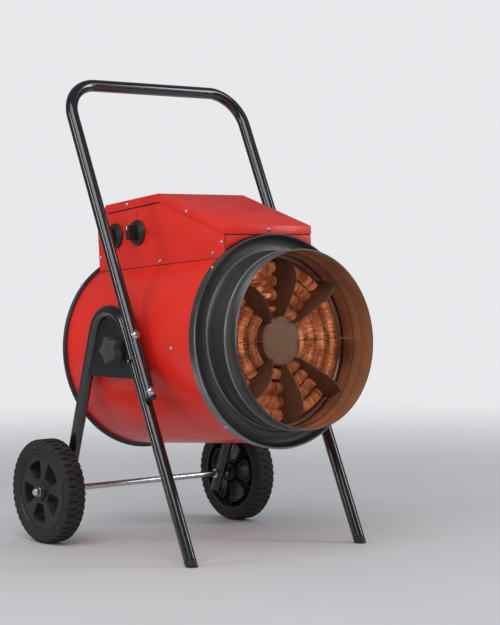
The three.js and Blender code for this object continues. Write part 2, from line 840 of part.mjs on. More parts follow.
const shaftEnd = motorFront + 20;
const shaftProfile = [
  [0, fanFront + 5 + fit],
  [shaftRadius, fanFront + 5 + fit],
  [shaftRadius, shaftEnd],
  [0, shaftEnd],
];
drum.add(mesh('motor_shaft', solid(turned(shaftProfile, 20)), bareSteel));

const motorBore = shaftRadius + running;
const motorProfile = [
  [motorBore, motorFront - 4],
  [22, motorFront - 4],
  [22, motorFront],
  [motorRadius - 4, motorFront],
  [motorRadius, motorFront + 4],
  [motorRadius, motorRear - 7],
  [motorRadius - 7, motorRear],
  [0, motorRear],
  [0, shaftEnd + fit],
  [motorBore, shaftEnd + fit],
];
drum.add(mesh('motor_body', solid(turned(motorProfile, 24)), castGrey));

// motor bracket: a clamp ring on four arms that reach the drum's wall
const bracketPlane = (motorFront + motorRear) / 2;
const bracketReach = (drumRadius - sheet) * Math.cos(Math.PI / drumFacets) - fit - 0.7;
const clampInner = motorRadius + fit;
const clampOuter = clampInner + clampWall;
const clampFront = bracketPlane - clampHalfLength;
const clampRear = bracketPlane + clampHalfLength;
const armFront = bracketPlane - bracketThickness / 2;
const armRear = bracketPlane + bracketThickness / 2;
let bracket = solid(turned([[clampInner, clampFront], [clampOuter, clampFront],
  [clampOuter, clampRear], [clampInner, clampRear]], 24));
for (let i = 0; i < 4; i += 1) {
  const arm = block(clampInner + clampWall / 2, bracketReach, armFront, armRear,
    -bracketWidth / 2, bracketWidth / 2);
  const pad = block(bracketReach - padThickness, bracketReach, armFront,
    bracketPlane + padLength, -bracketWidth / 2, bracketWidth / 2);
  const turn = i * Math.PI / 2 + Math.PI / 4;
  bracket = bracket.add(solid(arm.rotateY(turn))).add(solid(pad.rotateY(turn)));
}
drum.add(mesh('motor_bracket', bracket, zinc));

// ---------------------------------------------------------------- control box
const insideDrum = drumRadius / 2;
const aboveLid = lidRidgeHeight + drumRadius / 4;
const housingTopBack = lidBackY - 1.3;
const housingOutline = [
  [boxFront, insideDrum],
  [boxFront, lidEaveHeight - lidDrop],
  [lidRidgeY, lidRidgeHeight - lidDrop],
  [housingTopBack, lidBackHeight - lidDrop],
  [boxRear, boxRearShoulder],
  [boxRear, insideDrum],
];
const cavityOutline = [
  [boxFront + sheet, insideDrum - sheet],
  [boxFront + sheet, aboveLid],
  [housingTopBack - 0.9, aboveLid],
  [housingTopBack - 0.9, lidBackHeight - lidDrop - 0.8],
  [boxRear - sheet, boxRearShoulder - 0.5],
  [boxRear - sheet, insideDrum - sheet],
];
const drumClearance = turned([
  [0, collarFront - 50],
  [collarRadius + fit, collarFront - 50],
  [collarRadius + fit, collarRear + fit],
  [drumRadius + fit, collarRear + fit],
  [drumRadius + fit, ringFace - rearRingWidth - fit],
  [rearRingRadius + fit, ringFace - rearRingWidth - fit],
  [rearRingRadius + fit, boxRear + 40],
  [0, boxRear + 40],
], drumFacets);
let housing = solid(sideSlab(outline(housingOutline), 2 * boxHalfWidth));
const cavity = solid(sideSlab(outline(cavityOutline), 2 * (boxHalfWidth - sheet)));
housing = housing.subtract(cavity).subtract(solid(drumClearance));

const flangeSheet = turned([
  [drumRadius + fit, collarRear + fit],
  [drumRadius + fit + sheet, collarRear + fit],
  [drumRadius + fit + sheet, ringFace - rearRingWidth - fit],
  [drumRadius + fit, ringFace - rearRingWidth - fit],
], drumFacets);
for (const [, side] of bothSides) {
  const middle = side * (boxHalfWidth - boxFlange / 2);
  const strip = block(middle - boxFlange / 2, middle + boxFlange / 2,
    boxFront - 10, boxRear, insideDrum, aboveLid);
  housing = housing.add(solid(flangeSheet).intersect(solid(strip)));
}
for (const along of [selectorY, thermostatY]) {
  const hole = rod(stemRadius + 2, point(-boxHalfWidth - 10, along, knobHeight),
    point(-boxHalfWidth + 10, along, knobHeight), 16);
  housing = housing.subtract(solid(hole));
}
const glandThread = glandRadius - 4;
const glandHole = rod(glandThread + fit, point(glandX, boxRear - 10, glandHeight),
  point(glandX, boxRear + 10, glandHeight), 20);
housing = housing.subtract(solid(glandHole));
drum.add(mesh('control_housing', housing, redPaint));

const lidOutline = [
  [lidEaveY, lidEaveHeight - lidSkirt],
  [lidEaveY, lidEaveHeight],
  [lidRidgeY, lidRidgeHeight],
  [lidBackY, lidBackHeight],
  [lidBackY + flapRun, lidBackHeight - flapDrop],
  [lidBackY - 5, lidBackHeight - lidSkirt],
  [lidRidgeY, lidRidgeHeight - lidSkirt],
];
const flapInside = lidBackY + flapRun * 2 - 1.1;
const lidUnder = [
  [lidEaveY + 1.4, insideDrum],
  [lidEaveY + 1.4, lidEaveHeight - 1.1],
  [lidRidgeY, lidRidgeHeight - 1.4],
  [lidBackY - 0.7, lidBackHeight - 1.4],
  [flapInside, lidBackHeight - flapDrop * 2 - 0.9],
  [flapInside, insideDrum],
];
const lidHalfWidth = boxHalfWidth + lidOverhang;
let lid = solid(sideSlab(outline(lidOutline), 2 * lidHalfWidth));
lid = lid.subtract(solid(sideSlab(outline(lidUnder), 2 * (lidHalfWidth - sheet))));
drum.add(mesh('control_lid', lid, redPaint));

// ---------------------------------------------------------------- knobs on the box's side
function dialKnob(along, pointerAngle) {
  const faceX = boxHalfWidth + 0.8;
  const profile = [
    [0, faceX - 12],
    [stemRadius, faceX - 12],
    [stemRadius, faceX],
    [dialRadius, faceX],
    [dialRadius, faceX + 2],
    [dialRadius - 2, faceX + 4],
    [gripRadius, faceX + 4.5],
    [gripRadius - 1, faceX + 6],
    [0, faceX + 6],
  ];
  const base = solid(turnedAcross(profile, 24, -1));
  const grip = block(-faceX - 4 - gripHeight, -faceX - 5, -5, 5, -gripRadius + 2, gripRadius - 2);
  const knob = base.add(solid(grip.rotateX(radians(pointerAngle))));
  return knob.translate([0, along, knobHeight]);
}

drum.add(mesh('selector_knob', dialKnob(selectorY, 0), blackPlastic));
drum.add(mesh('thermostat_knob', dialKnob(thermostatY, 0), blackPlastic));

function rotaryBody(along, half, depth) {
  const front = boxHalfWidth - sheet - fit;
  const body = solid(block(-front, -front + depth, along - half, along + half,
    knobHeight - half, knobHeight + half));
  const bore = rod(stemRadius + running + 0.1, point(-front - 1, along, knobHeight),
    point(-front + stemDepth, along, knobHeight), 14);
  return body.subtract(solid(bore));
}

drum.add(mesh('selector_switch', rotaryBody(selectorY, selectorSwitchHalf, selectorSwitchDepth),
  palePlastic));
drum.add(mesh('thermostat', rotaryBody(thermostatY, thermostatHalf, thermostatDepth),
  palePlastic));
const drumTop = drumRadius + 2 * fit;

function onDrum(middleX, width, middleY, length, height) {
  return block(middleX - width / 2, middleX + width / 2, middleY - length / 2,
    middleY + length / 2, drumTop, drumTop + height);
}

const contactor = onDrum(contactorX, contactorWidth, contactorY, contactorLength,
  contactorHeight);
drum.add(mesh('contactor', solid(contactor), palePlastic));
const terminals = onDrum(terminalBlockX, terminalBlockWidth, terminalBlockY,
  terminalBlockLength, terminalBlockHeight);
drum.add(mesh('terminal_block', solid(terminals), palePlastic));

const glandProfile = [
  [glandThread - 3, boxRear - 12],
  [glandThread, boxRear - 12],
  [glandThread, boxRear + fit],
  [glandRadius, boxRear + fit],
  [glandRadius, boxRear + 8],
  [glandRadius - 1.5, boxRear + 9],
  [glandRadius - 2.5, boxRear + 20],
  [glandRadius - 5, boxRear + 24],
  [glandThread - 3, boxRear + 24],
];
const gland = turned(glandProfile, 18).translate(glandX, 0, glandHeight);
drum.add(mesh('cable_gland', solid(gland), blackPlastic));

// ---------------------------------------------------------------- tilt pivot and clamp knobs
const plateInner = plateMiddle - gussetThickness / 2;
const plateOuter = plateMiddle + gussetThickness / 2;
const knobSeat = plateMiddle + tubeRadius + 3;

for (const [label, side] of bothSides) {
  const studEnd = knobSeat + starKnobHead - 6;
  const studProfile = [
    [0, drumRadius + fit],
    [16, drumRadius + fit],
    [16, drumRadius + fit + 3],
    [9, drumRadius + fit + 3],
    [9, plateInner - fit],
    [studRadius, plateInner - fit],
    [studRadius, studEnd],
    [0, studEnd],
  ];
  drum.add(mesh(`tilt_stud_${label}`, solid(turnedAcross(studProfile, 24, side)), zinc));

  // star knob: a lobed head on a boss that bears on the pivot plate
  const lobes = new THREE.Shape();
  const steps = 50;
  const waist = starKnobRadius * 0.15;
  for (let i = 0; i < steps; i += 1) {
    const angle = 2 * Math.PI * i / steps;
    const radius = starKnobRadius - waist + waist * Math.cos(starKnobLobes * angle);
    const x = radius * Math.cos(angle);
    const y = radius * Math.sin(angle);
    if (i === 0) {
      lobes.moveTo(x, y);
    } else {
      lobes.lineTo(x, y);
    }
  }
  const head = sideSlab(lobes, starKnobHead, side * (knobSeat + starKnobHead / 2));
  const bore = studRadius + running;
  const boss = turnedAcross([[0, plateOuter + fit], [11, plateOuter + fit],
    [13, knobSeat + 2], [0, knobSeat + 2]], 20, side);
  const boreCut = rod(bore, point(side * (plateOuter - 5), 0, 0),
    point(side * (studEnd + fit), 0, 0), 20);
  const knob = solid(head).add(solid(boss)).subtract(solid(boreCut));
  drum.add(mesh(`tilt_knob_${label}`, knob, blackPlastic));
}

// the origin is on the floor, under the middle of the whole object
model.updateMatrixWorld(true);
const whole = new THREE.Box3().setFromObject(model);
model.position.y = -(whole.min.y + whole.max.y) / 2;
model.updateMatrixWorld(true);

export default model;
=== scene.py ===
import json
import math

import bmesh
import bpy
from bmesh.types import BMEdge, BMVert
from mathutils import Matrix, Vector


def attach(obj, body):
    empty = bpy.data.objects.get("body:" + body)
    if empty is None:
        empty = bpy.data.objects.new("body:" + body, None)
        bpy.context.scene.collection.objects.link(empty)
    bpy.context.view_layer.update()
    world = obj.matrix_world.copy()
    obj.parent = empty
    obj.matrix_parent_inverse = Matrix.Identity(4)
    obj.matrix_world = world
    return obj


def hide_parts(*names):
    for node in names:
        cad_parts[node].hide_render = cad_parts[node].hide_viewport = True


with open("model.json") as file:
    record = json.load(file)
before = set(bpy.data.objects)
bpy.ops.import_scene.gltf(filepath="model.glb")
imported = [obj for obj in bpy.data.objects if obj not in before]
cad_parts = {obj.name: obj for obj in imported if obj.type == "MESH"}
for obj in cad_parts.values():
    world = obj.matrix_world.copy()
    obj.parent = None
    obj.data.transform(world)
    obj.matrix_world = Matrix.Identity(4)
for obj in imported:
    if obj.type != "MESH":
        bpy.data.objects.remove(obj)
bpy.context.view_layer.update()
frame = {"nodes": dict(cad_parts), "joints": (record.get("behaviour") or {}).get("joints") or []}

# ---------------------------------------- side frames
# Two hairpins of 23 mm steel tube carry everything. Each is one length, cold bent over a
# 57 mm former, then powder coated gloss black. The trolley is drawn in millimetres from a
# point on the floor, and its seat brings the drawing into the object's frame.
both_sides = (("left", -1), ("right", 1))
full_turn = 2 * math.pi
axle_y, axle_height = 230, 100
joint_at = {joint["name"]: Vector(joint["pos_m"]) for joint in frame["joints"]}
to_metres = Matrix.Scale(0.001, 4)
trolley_zero = joint_at["wheel_right_spin"].y - 0.001 * axle_y
trolley_seat = Matrix.Translation((0, trolley_zero, 0)) @ to_metres

tube_radius, tube_wall = 11.5, 1.5
foot_y, leg_lean = -180, 0.455        # the lean is the run back for each step up
foot_half, axle_half, arch_half = 203.5, 190, 206
arch_radius, arch_height = 57, 541
arch_y = foot_y + leg_lean * arch_height
rear_lean = (axle_y - arch_y) / (arch_height - axle_height)
leg_slant = math.sqrt(1 + leg_lean ** 2)
plug_flange = 6
front_leg_end = (plug_flange + tube_radius * leg_lean) / leg_slant
rear_leg_end = 66


def front_leg(side, height):
    """A point of the front leg's middle line."""
    half = foot_half + (arch_half - foot_half) * height / arch_height
    return Vector((side * half, foot_y + leg_lean * height, height))


def rear_leg(side, height):
    """A point of the rear leg's middle line."""
    up = height - axle_height
    half = axle_half + (arch_half - axle_half) * up / (arch_height - axle_height)
    return Vector((side * half, axle_y - rear_lean * up, height))


def joined_to(verts, kind="link_edges"):
    """The edges, or the faces, that some points belong to."""
    return list(dict.fromkeys(item for vert in verts for item in getattr(vert, kind)))


def only(kind, geom):
    """The points, or the edges, among what an operator made."""
    return [item for item in geom if isinstance(item, kind)]


def face_out(bm):
    """Turns every face outwards."""
    bmesh.ops.recalc_face_normals(bm, faces=bm.faces[:])


def sweep(bm, corners, bend, radius, sides=28, bend_steps=18):
    """A round section run along straight lines, with each inner corner bent to a radius."""
    ahead = (corners[1] - corners[0]).normalized()
    turn = ahead.to_track_quat("Z", "Y").to_matrix().to_4x4()
    first = joined_to(bmesh.ops.create_circle(
        bm, segments=sides, radius=radius,
        matrix=Matrix.Translation(corners[0]) @ turn)["verts"])
    ring, at = first, corners[0]
    for i in range(1, len(corners)):
        last = i == len(corners) - 1
        ahead = (corners[i] - corners[i - 1]).normalized()
        stop = corners[i]
        if not last:
            after = (corners[i + 1] - corners[i]).normalized()
            bend_angle = ahead.angle(after)
            stop = corners[i] - ahead * bend * math.tan(bend_angle / 2)
        out = bmesh.ops.extrude_edge_only(bm, edges=ring)["geom"]
        moved = only(BMVert, out)
        bmesh.ops.translate(bm, verts=moved, vec=stop - at)
        ring = [edge for edge in only(BMEdge, out) if all(vert in moved for vert in edge.verts)]
        at = stop
        if not last:
            axis = ahead.cross(after).normalized()
            centre = stop + axis.cross(ahead) * bend
            verts = list({vert for edge in ring for vert in edge.verts})
            ring = only(BMEdge, bmesh.ops.spin(
                bm, geom=verts + ring, cent=centre, axis=axis, angle=bend_angle,
                steps=bend_steps)["geom_last"])
            at = centre + Matrix.Rotation(bend_angle, 3, axis) @ (stop - centre)
    return first, ring


def open_tube(bm, corners, bend, radius, wall, sides):
    """A tube with its bore, closed round both ends."""
    outer = sweep(bm, corners, bend, radius, sides)
    inner = sweep(bm, corners, bend, radius - wall, sides)
    for outside, inside in zip(outer, inner):
        bmesh.ops.bridge_loops(bm, edges=outside + inside)
    face_out(bm)


def make(name, bm, seat, finish, body, stands_for=None, smooth=35):
    """Turns a drawing into a piece of the object that moves with one of its bodies."""
    bmesh.ops.transform(bm, matrix=seat, verts=bm.verts[:])
    mesh = bpy.data.meshes.new(name)
    bm.to_mesh(mesh)
    bm.free()
    mesh.polygons.foreach_set("use_smooth", [True] * len(mesh.polygons))
    mesh.set_sharp_from_angle(angle=math.radians(smooth))
    mesh.materials.append(finish)
    piece = bpy.data.objects.new(name, mesh)
    bpy.context.scene.collection.objects.link(piece)
    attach(piece, body)
    if stands_for:
        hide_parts(stands_for)


def effect(name, inputs, outputs):
    """An empty node group for an effect that several finishes share."""
    group = bpy.data.node_groups.new(name, "ShaderNodeTree")
    for label, value in inputs.items():
        kind = "Float" if isinstance(value, float) else {3: "Vector", 4: "Color"}[len(value)]
        socket = group.interface.new_socket(label, in_out="INPUT",
                                            socket_type="NodeSocket" + kind)
        socket.default_value = value
    for label, kind in outputs.items():
        group.interface.new_socket(label, in_out="OUTPUT", socket_type="NodeSocket" + kind)
    return group, group.nodes.new("NodeGroupInput").outputs, group.nodes.new("NodeGroupOutput")


def wire(tree, node_type, settings=None, values=None):
    """One node with its settings made and its sockets filled or linked."""
    node = tree.nodes.new(node_type)
    for key, value in (settings or {}).items():
        setattr(node, key, value)
    for key, value in (values or {}).items():
        if isinstance(value, bpy.types.NodeSocket):
            tree.links.new(value, node.inputs[key])
        else:
            node.inputs[key].default_value = value
    return node


def surface(tree):
    """Where a point of the surface lies, and which way it faces."""
    node = wire(tree, "ShaderNodeTexCoord")
    return node.outputs["Object"], node.outputs["Normal"]


def noise(tree, at, scale, detail, roughness=0.5):
    """A cloudy value about 0.5, finer as its scale rises."""
    return wire(tree, "ShaderNodeTexNoise", {}, {
        "Vector": at, "Scale": scale, "Detail": detail, "Roughness": roughness}).outputs["Fac"]


def ramp(tree, value, low, high, to_low=0.0, to_high=1.0):
    """A value stretched from one span to another and held at its ends."""
    return wire(tree, "ShaderNodeMapRange", {}, {
        "Value": value, "From Min": low, "From Max": high, "To Min": to_low,
        "To Max": to_high}).outputs["Result"]


def reckon(tree, operation, first, second=0.5, clamp=False):
    """One step of arithmetic with numbers."""
    return wire(tree, "ShaderNodeMath", {"operation": operation, "use_clamp": clamp}, {
        0: first, 1: second}).outputs[0]


def blended(tree, share, first, second, way="MIX"):
    """Two colours blended by a share from 0 to 1."""
    return wire(tree, "ShaderNodeMix", {"data_type": "RGBA", "blend_type": way}, {
        "Factor": share, 6: first, 7: second}).outputs[2]


def relief(tree, height, strength, distance):
    """The way a surface faces once a fine height lies on it."""
    return wire(tree, "ShaderNodeBump", {}, {
        "Strength": strength, "Distance": distance, "Height": height}).outputs["Normal"]


def feed(tree, target, sockets):
    """Links what was worked out to a shader or to a group's outlet."""
    for key, value in sockets.items():
        tree.links.new(value, target.inputs[key])


# sprayed_coat: the slow drift in tone and the fine orange peel of a baked powder coat
sprayed_coat, given, result = effect(
    "sprayed_coat",
    {"Colour": (0.5, 0.5, 0.5, 1), "Drift": 0.1, "Roughness": 0.3, "Peel": 0.1,
     "Peel Scale": 420.0},
    {"Colour": "Color", "Roughness": "Float", "Normal": "Vector"})
tree = sprayed_coat
at, _ = surface(tree)
darker = reckon(tree, "MULTIPLY", ramp(tree, noise(tree, at, 7, 3), 0.3, 0.7), given["Drift"])
patchy = ramp(tree, noise(tree, at, 38, 2), 0.3, 0.7, -0.04, 0.05)
peel = noise(tree, at, given["Peel Scale"], 2)
feed(tree, result, {
    "Colour": blended(tree, darker, given["Colour"], (0.35, 0.33, 0.33, 1), "MULTIPLY"),
    "Roughness": reckon(tree, "ADD", patchy, given["Roughness"]),
    "Normal": relief(tree, peel, given["Peel"], 0.001)})

# settled_dust: a thin pale film on what faces up, broken by a cloudy noise
settled_dust, given, result = effect(
    "settled_dust", {"Amount": 0.1, "Scale": 30.0}, {"Mask": "Float"})
tree = settled_dust
at, faces = surface(tree)
upward = ramp(tree, wire(tree, "ShaderNodeSeparateXYZ", {}, {0: faces}).outputs["Z"],
              0.1, 1.0, 0.15)
broken = ramp(tree, noise(tree, at, given["Scale"], 5, 0.65), 0.4, 0.75)
lying = reckon(tree, "MULTIPLY", upward, broken)
feed(tree, result, {"Mask": reckon(tree, "MULTIPLY", lying, given["Amount"], True)})


def blank(name, metallic=0.0, specular=0.5, coat=0.0):
    """A material with its shader ready, for a finish to be built on."""
    material = bpy.data.materials.new(name)
    material.use_nodes = True
    shader = material.node_tree.nodes["Principled BSDF"]
    shader.inputs["Metallic"].default_value = metallic
    shader.inputs["Specular IOR Level"].default_value = specular
    shader.inputs["Coat Weight"].default_value = coat
    shader.inputs["Coat Roughness"].default_value = 0.1
    return material, material.node_tree, shader


def dusted(tree, colour, amount, scale, dust_colour):
    """A colour with dust lying on it."""
    film = wire(tree, "ShaderNodeGroup", {"node_tree": settled_dust}, {
        "Amount": amount, "Scale": scale})
    return blended(tree, film.outputs["Mask"], colour, dust_colour)


def sprayed(tree, colour, roughness, drift, peel, peel_scale):
    """The sockets of a sprayed coat."""
    return wire(tree, "ShaderNodeGroup", {"node_tree": sprayed_coat}, {
        "Colour": colour, "Drift": drift, "Roughness": roughness, "Peel": peel,
        "Peel Scale": peel_scale}).outputs


def coated(name, colour, roughness, drift, peel, peel_scale, dust, coat=0.0, specular=0.5,
           dust_colour=(0.42, 0.40, 0.37, 1)):
    """Powder-coated steel: a sprayed coat with a little dust lying on it."""
    material, tree, shader = blank(name, specular=specular, coat=coat)
    spray = sprayed(tree, colour, roughness, drift, peel, peel_scale)
    feed(tree, shader, {
        "Base Color": dusted(tree, spray["Colour"], dust, 24.0, dust_colour),
        "Roughness": spray["Roughness"], "Normal": spray["Normal"]})
    return material


gloss_black = coated("gloss_black_coat", (0.006, 0.006, 0.007, 1), 0.22, 0.25, 0.002, 160.0,
                     dust=0.01, coat=0.9)

for label, side in both_sides:
    bm = bmesh.new()
    open_tube(bm, [front_leg(side, front_leg_end), front_leg(side, arch_height),
                   rear_leg(side, rear_leg_end)], arch_radius, tube_radius, tube_wall, 32)
    make(f"side_frame_{label}_tube", bm, trolley_seat, gloss_black, "trolley",
         f"side_frame_{label}", 50)

# ---------------------------------------- pivot plates
# A 3 mm plate is let in under each arch and welded to both legs. It carries the drum's
# stud, and is coated with the frame.
satin_black = coated("satin_black_coat", (0.006, 0.006, 0.0065, 1), 0.5, 0.3, 0.06, 600.0,
                     dust=0.03)
plate_half, plate_low = 203, 331      # how far out its middle stands, and its lower edge
weld_radius = 1.7
solid_seat = Matrix.Identity(4)       # a solid's own shape is in its place already


def copy_of(node):
    """The solid's own shape, with its triangles joined and its flat faces made whole."""
    bm = bmesh.new()
    bm.from_mesh(frame["nodes"][node].data)
    bmesh.ops.remove_doubles(bm, verts=bm.verts[:], dist=2e-6)
    bmesh.ops.dissolve_limit(bm, angle_limit=math.radians(1), verts=bm.verts[:],
                             edges=bm.edges[:])
    return bm


def ease(bm, width, steps=2, sharper=30):
    """Rounds every edge that turns more sharply than an angle."""
    sharp = [edge for edge in bm.edges if len(edge.link_faces) == 2
             and edge.calc_face_angle(0) > math.radians(sharper)]
    bmesh.ops.bevel(bm, geom=sharp, offset=width, offset_type="OFFSET", segments=steps,
                    profile=0.5, affect="EDGES", material=-1, clamp_overlap=True)


for label, side in both_sides:
    bm = copy_of(f"pivot_plate_{label}")
    ease(bm, 0.0006, 2, 40)
    make(f"pivot_plate_{label}_sheet", bm, solid_seat, satin_black, "trolley",
         f"pivot_plate_{label}")

    # the fillet of weld where the plate meets the tube, all round under the arch
    inner = tube_radius - 0.6
    front_step = Vector((0, 1, -leg_lean)).normalized() * inner
    rear_step = Vector((0, -1, -rear_lean)).normalized() * inner
    top = front_leg(side, arch_height) + front_step
    top.z -= inner * 0.62
    top.y = arch_y + 1.8
    corners = [front_leg(side, plate_low) + front_step, top,
               rear_leg(side, plate_low) + rear_step]
    for corner in corners:
        corner.x = side * plate_half
    bm = bmesh.new()
    sweep(bm, corners, arch_radius - inner, weld_radius, 8)
    face_out(bm)
    make(f"pivot_plate_{label}_weld", bm, trolley_seat, satin_black, "trolley")

# ---------------------------------------- foot plugs
# Each front leg ends in a plug of moulded plastic, pressed into the tube and cut off flat
# at the floor.


def moulded(name, colour, roughness, grain=700.0, bump=0.12, dust=0.05):
    """Spark-finished plastic: a fine even grain and a slight cloudiness."""
    material, tree, shader = blank(name, specular=0.4)
    at, _ = surface(tree)
    cloud = noise(tree, at, 45, 4)
    paler = tuple(min(1, c * 1.7 + 0.004) for c in colour[:3]) + (1,)
    toned = blended(tree, ramp(tree, cloud, 0.35, 0.7, 0, 0.5), colour, paler)
    feed(tree, shader, {
        "Base Color": dusted(tree, toned, dust, 60.0, (0.36, 0.34, 0.31, 1)),
        "Roughness": ramp(tree, cloud, 0.3, 0.7, roughness - 0.06, roughness + 0.06),
        "Normal": relief(tree, noise(tree, at, grain, 2), bump, 0.0006)})
    return material


def close_ends(bm):
    """Fills the open ends of what is drawn."""
    bmesh.ops.holes_fill(bm, edges=[edge for edge in bm.edges if edge.is_boundary], sides=0)
    face_out(bm)


black_plastic = moulded("black_moulding", (0.013, 0.013, 0.014, 1), 0.5)
plug_length = 24
for label, side in both_sides:
    top = front_leg(side, front_leg_end)
    along = (front_leg(side, 100) - front_leg(side, 0)).normalized()
    bm = bmesh.new()
    sweep(bm, [top - along * plug_length, top - along * 0.4], 1, tube_radius - 0.4, 32)
    close_ends(bm)
    bmesh.ops.bisect_plane(bm, geom=bm.verts[:] + bm.edges[:] + bm.faces[:],
                           plane_co=(0, 0, 0), plane_no=(0, 0, -1), clear_outer=True)
    close_ends(bm)
    ease(bm, 0.9, 3, 40)
    make(f"foot_plug_{label}_moulding", bm, trolley_seat, black_plastic, "trolley",
         f"foot_plug_{label}")

# ---------------------------------------- handle
# One tube bent into a U stands against the fronts of the two legs. A plain moulded cap
# closes each lower end.
handle_half, handle_bend = 210.5, 70
handle_low, handle_high = 293.5, 880.9
cap_depth = 2.8
stand_off = math.sqrt((2 * tube_radius + 0.4) ** 2 - (handle_half - arch_half) ** 2)


def handle_at(side, height):
    """A point of an upright's middle line."""
    return Vector((side * handle_half, foot_y + leg_lean * height - stand_off * leg_slant,
                   height))


bm = bmesh.new()
open_tube(bm, [handle_at(-1, handle_low), handle_at(-1, handle_high),
               handle_at(1, handle_high), handle_at(1, handle_low)],
          handle_bend, tube_radius, tube_wall, 32)
make("handle_bent_tube", bm, trolley_seat, gloss_black, "trolley",
     "handle_tube", 50)
for label, side in both_sides:
    along = (handle_at(side, handle_high) - handle_at(side, handle_low)).normalized()
    face = handle_at(side, handle_low) - along * 0.4
    bm = bmesh.new()
    sweep(bm, [face - along * cap_depth, face], 1, tube_radius, 32)
    close_ends(bm)
    ease(bm, 1.1, 4, 40)
    make(f"handle_cap_{label}_moulding", bm, trolley_seat, black_plastic, "trolley",
         f"handle_cap_{label}")

# ---------------------------------------- handle bolts
# Four zinc-plated dome-head bolts with a hexagon socket pass through handle and leg, and
# are nutted behind.


def turned(bm, outline, about, steps, closed=False):
    """A (radius, along) outline turned about the Y axis, or about X towards one side."""
    if about == "Y":
        points = [Vector((0, along, radius)) for radius, along in outline]
        axis = (0, 1, 0)
    else:
        points = [Vector((about * along, 0, radius)) for radius, along in outline]
        axis = (1, 0, 0)
    verts = [bm.verts.new(at) for at in points]
    edges = [bm.edges.new(pair) for pair in zip(verts, verts[1:])]
    if closed:
        edges.append(bm.edges.new((verts[-1], verts[0])))
    before = set(bm.verts) - set(verts)
    bmesh.ops.spin(bm, geom=verts + edges, cent=(0, 0, 0), axis=axis, angle=full_turn,
                   steps=steps, use_merge=True)
    bmesh.ops.remove_doubles(bm, verts=added(bm, before), dist=0.002)
    face_out(bm)
    return added(bm, before)


def added(bm, before):
    """The points drawn since an earlier state."""
    return [vert for vert in bm.verts if vert not in before]


def shift(x, y, z):
    """A move by three distances."""
    return Matrix.Translation((x, y, z))


def swing(angle, axis):
    """A turn about one of a drawing's axes."""
    return Matrix.Rotation(angle, 4, axis)


def facing(direction, at):
    """Stands something drawn along +Y on a point, looking in a direction."""
    turn = Vector((0, 1, 0)).rotation_difference(Vector(direction)).to_matrix().to_4x4()
    return Matrix.Translation(at) @ turn


def move(bm, matrix):
    """Places everything drawn so far."""
    bmesh.ops.transform(bm, matrix=matrix, verts=bm.verts[:])


def hexagon(bm, radius, depth, seat):
    """A hexagon prism, as a nut, a bolt's head or a socket."""
    bmesh.ops.create_cone(bm, cap_ends=True, segments=6, radius1=radius, radius2=radius,
                          depth=depth, matrix=seat)


# worked_metal: faint streaks from drawing or rolling and small cloudy stains
worked_metal, given, result = effect(
    "worked_metal",
    {"Colour": (0.6, 0.6, 0.6, 1), "Stain": (0.3, 0.3, 0.3, 1), "Stain Amount": 0.3,
     "Roughness": 0.3, "Streak Scale": (900.0, 60.0, 900.0), "Relief": 0.05},
    {"Colour": "Color", "Roughness": "Float", "Normal": "Vector"})
tree = worked_metal
at, _ = surface(tree)
drawn = wire(tree, "ShaderNodeVectorMath", {"operation": "MULTIPLY"}, {
    0: at, 1: given["Streak Scale"]})
streak = noise(tree, drawn.outputs[0], 1, 3)
patch = ramp(tree, noise(tree, at, 85, 4, 0.6), 0.42, 0.72)
stained = reckon(tree, "MULTIPLY", patch, given["Stain Amount"])
feed(tree, result, {
    "Colour": blended(tree, stained, given["Colour"], given["Stain"]),
    "Roughness": reckon(tree, "ADD", ramp(tree, streak, 0.3, 0.7, -0.06, 0.09),
                        given["Roughness"]),
    "Normal": relief(tree, streak, given["Relief"], 0.0005)})


def bare_metal(name, colour, stain, stain_amount, roughness, streaks, bump, metallic=1.0):
    """Uncoated metal: streaks and stains straight onto the shader."""
    material, tree, shader = blank(name, metallic=metallic)
    worked = wire(tree, "ShaderNodeGroup", {"node_tree": worked_metal}, {
        "Colour": colour, "Stain": stain, "Stain Amount": stain_amount,
        "Roughness": roughness, "Streak Scale": streaks, "Relief": bump}).outputs
    feed(tree, shader, {"Base Color": worked["Colour"], "Roughness": worked["Roughness"],
                        "Normal": worked["Normal"]})
    return material


zinc = bare_metal("bright_zinc", (0.66, 0.67, 0.69, 1), (0.42, 0.41, 0.38, 1), 0.5, 0.26,
                  (500.0, 500.0, 500.0), 0.05)
dome = [(0, 5.0), (3.2, 4.6), (5.4, 3.6), (6.9, 2.0), (7.6, 0.0)]
washer = [(4.2, 0), (8.2, 0), (8.6, -0.3), (8.6, -0.9), (4.2, -0.9)]
shank_radius, shank_end = 4.0, 15.5
socket_radius, socket_depth, socket_at = 2.5, 0.7, 4.75
nut_radius, nut_thickness, nut_at = 7.2, 3.4, 13.4
bolt_spacing = 100.5
low_bolt = handle_low + 9 - stand_off * leg_lean / leg_slant
under_head = 3 * tube_radius + 0.8    # from the leg's middle line to the head
for label, side in both_sides:
    for level, height in (("lower", low_bolt), ("upper", low_bolt + bolt_spacing)):
        on_leg = front_leg(side, height)
        outwards = Vector((side * handle_half - on_leg.x, 0, 0))
        outwards += Vector((0, -1, leg_lean)).normalized() * stand_off
        outwards.normalize()
        bm = bmesh.new()
        turned(bm, dome + [(shank_radius, 0), (shank_radius, -under_head - shank_end),
                           (0, -under_head - shank_end)], "Y", 28)
        # the hexagon socket in the crown, and the nut behind the leg
        along = swing(math.pi / 2, "X")
        hexagon(bm, socket_radius, socket_depth, shift(0, socket_at, 0) @ along)
        turned(bm, washer, "Y", 28, closed=True)
        hexagon(bm, nut_radius, nut_thickness, shift(0, -under_head - nut_at, 0) @ along)
        move(bm, facing(outwards, on_leg + outwards * (under_head + 0.1)))
        make(f"handle_bolt_{level}_{label}_domed", bm, trolley_seat, zinc, "trolley",
             f"handle_bolt_{level}_{label}", 32)

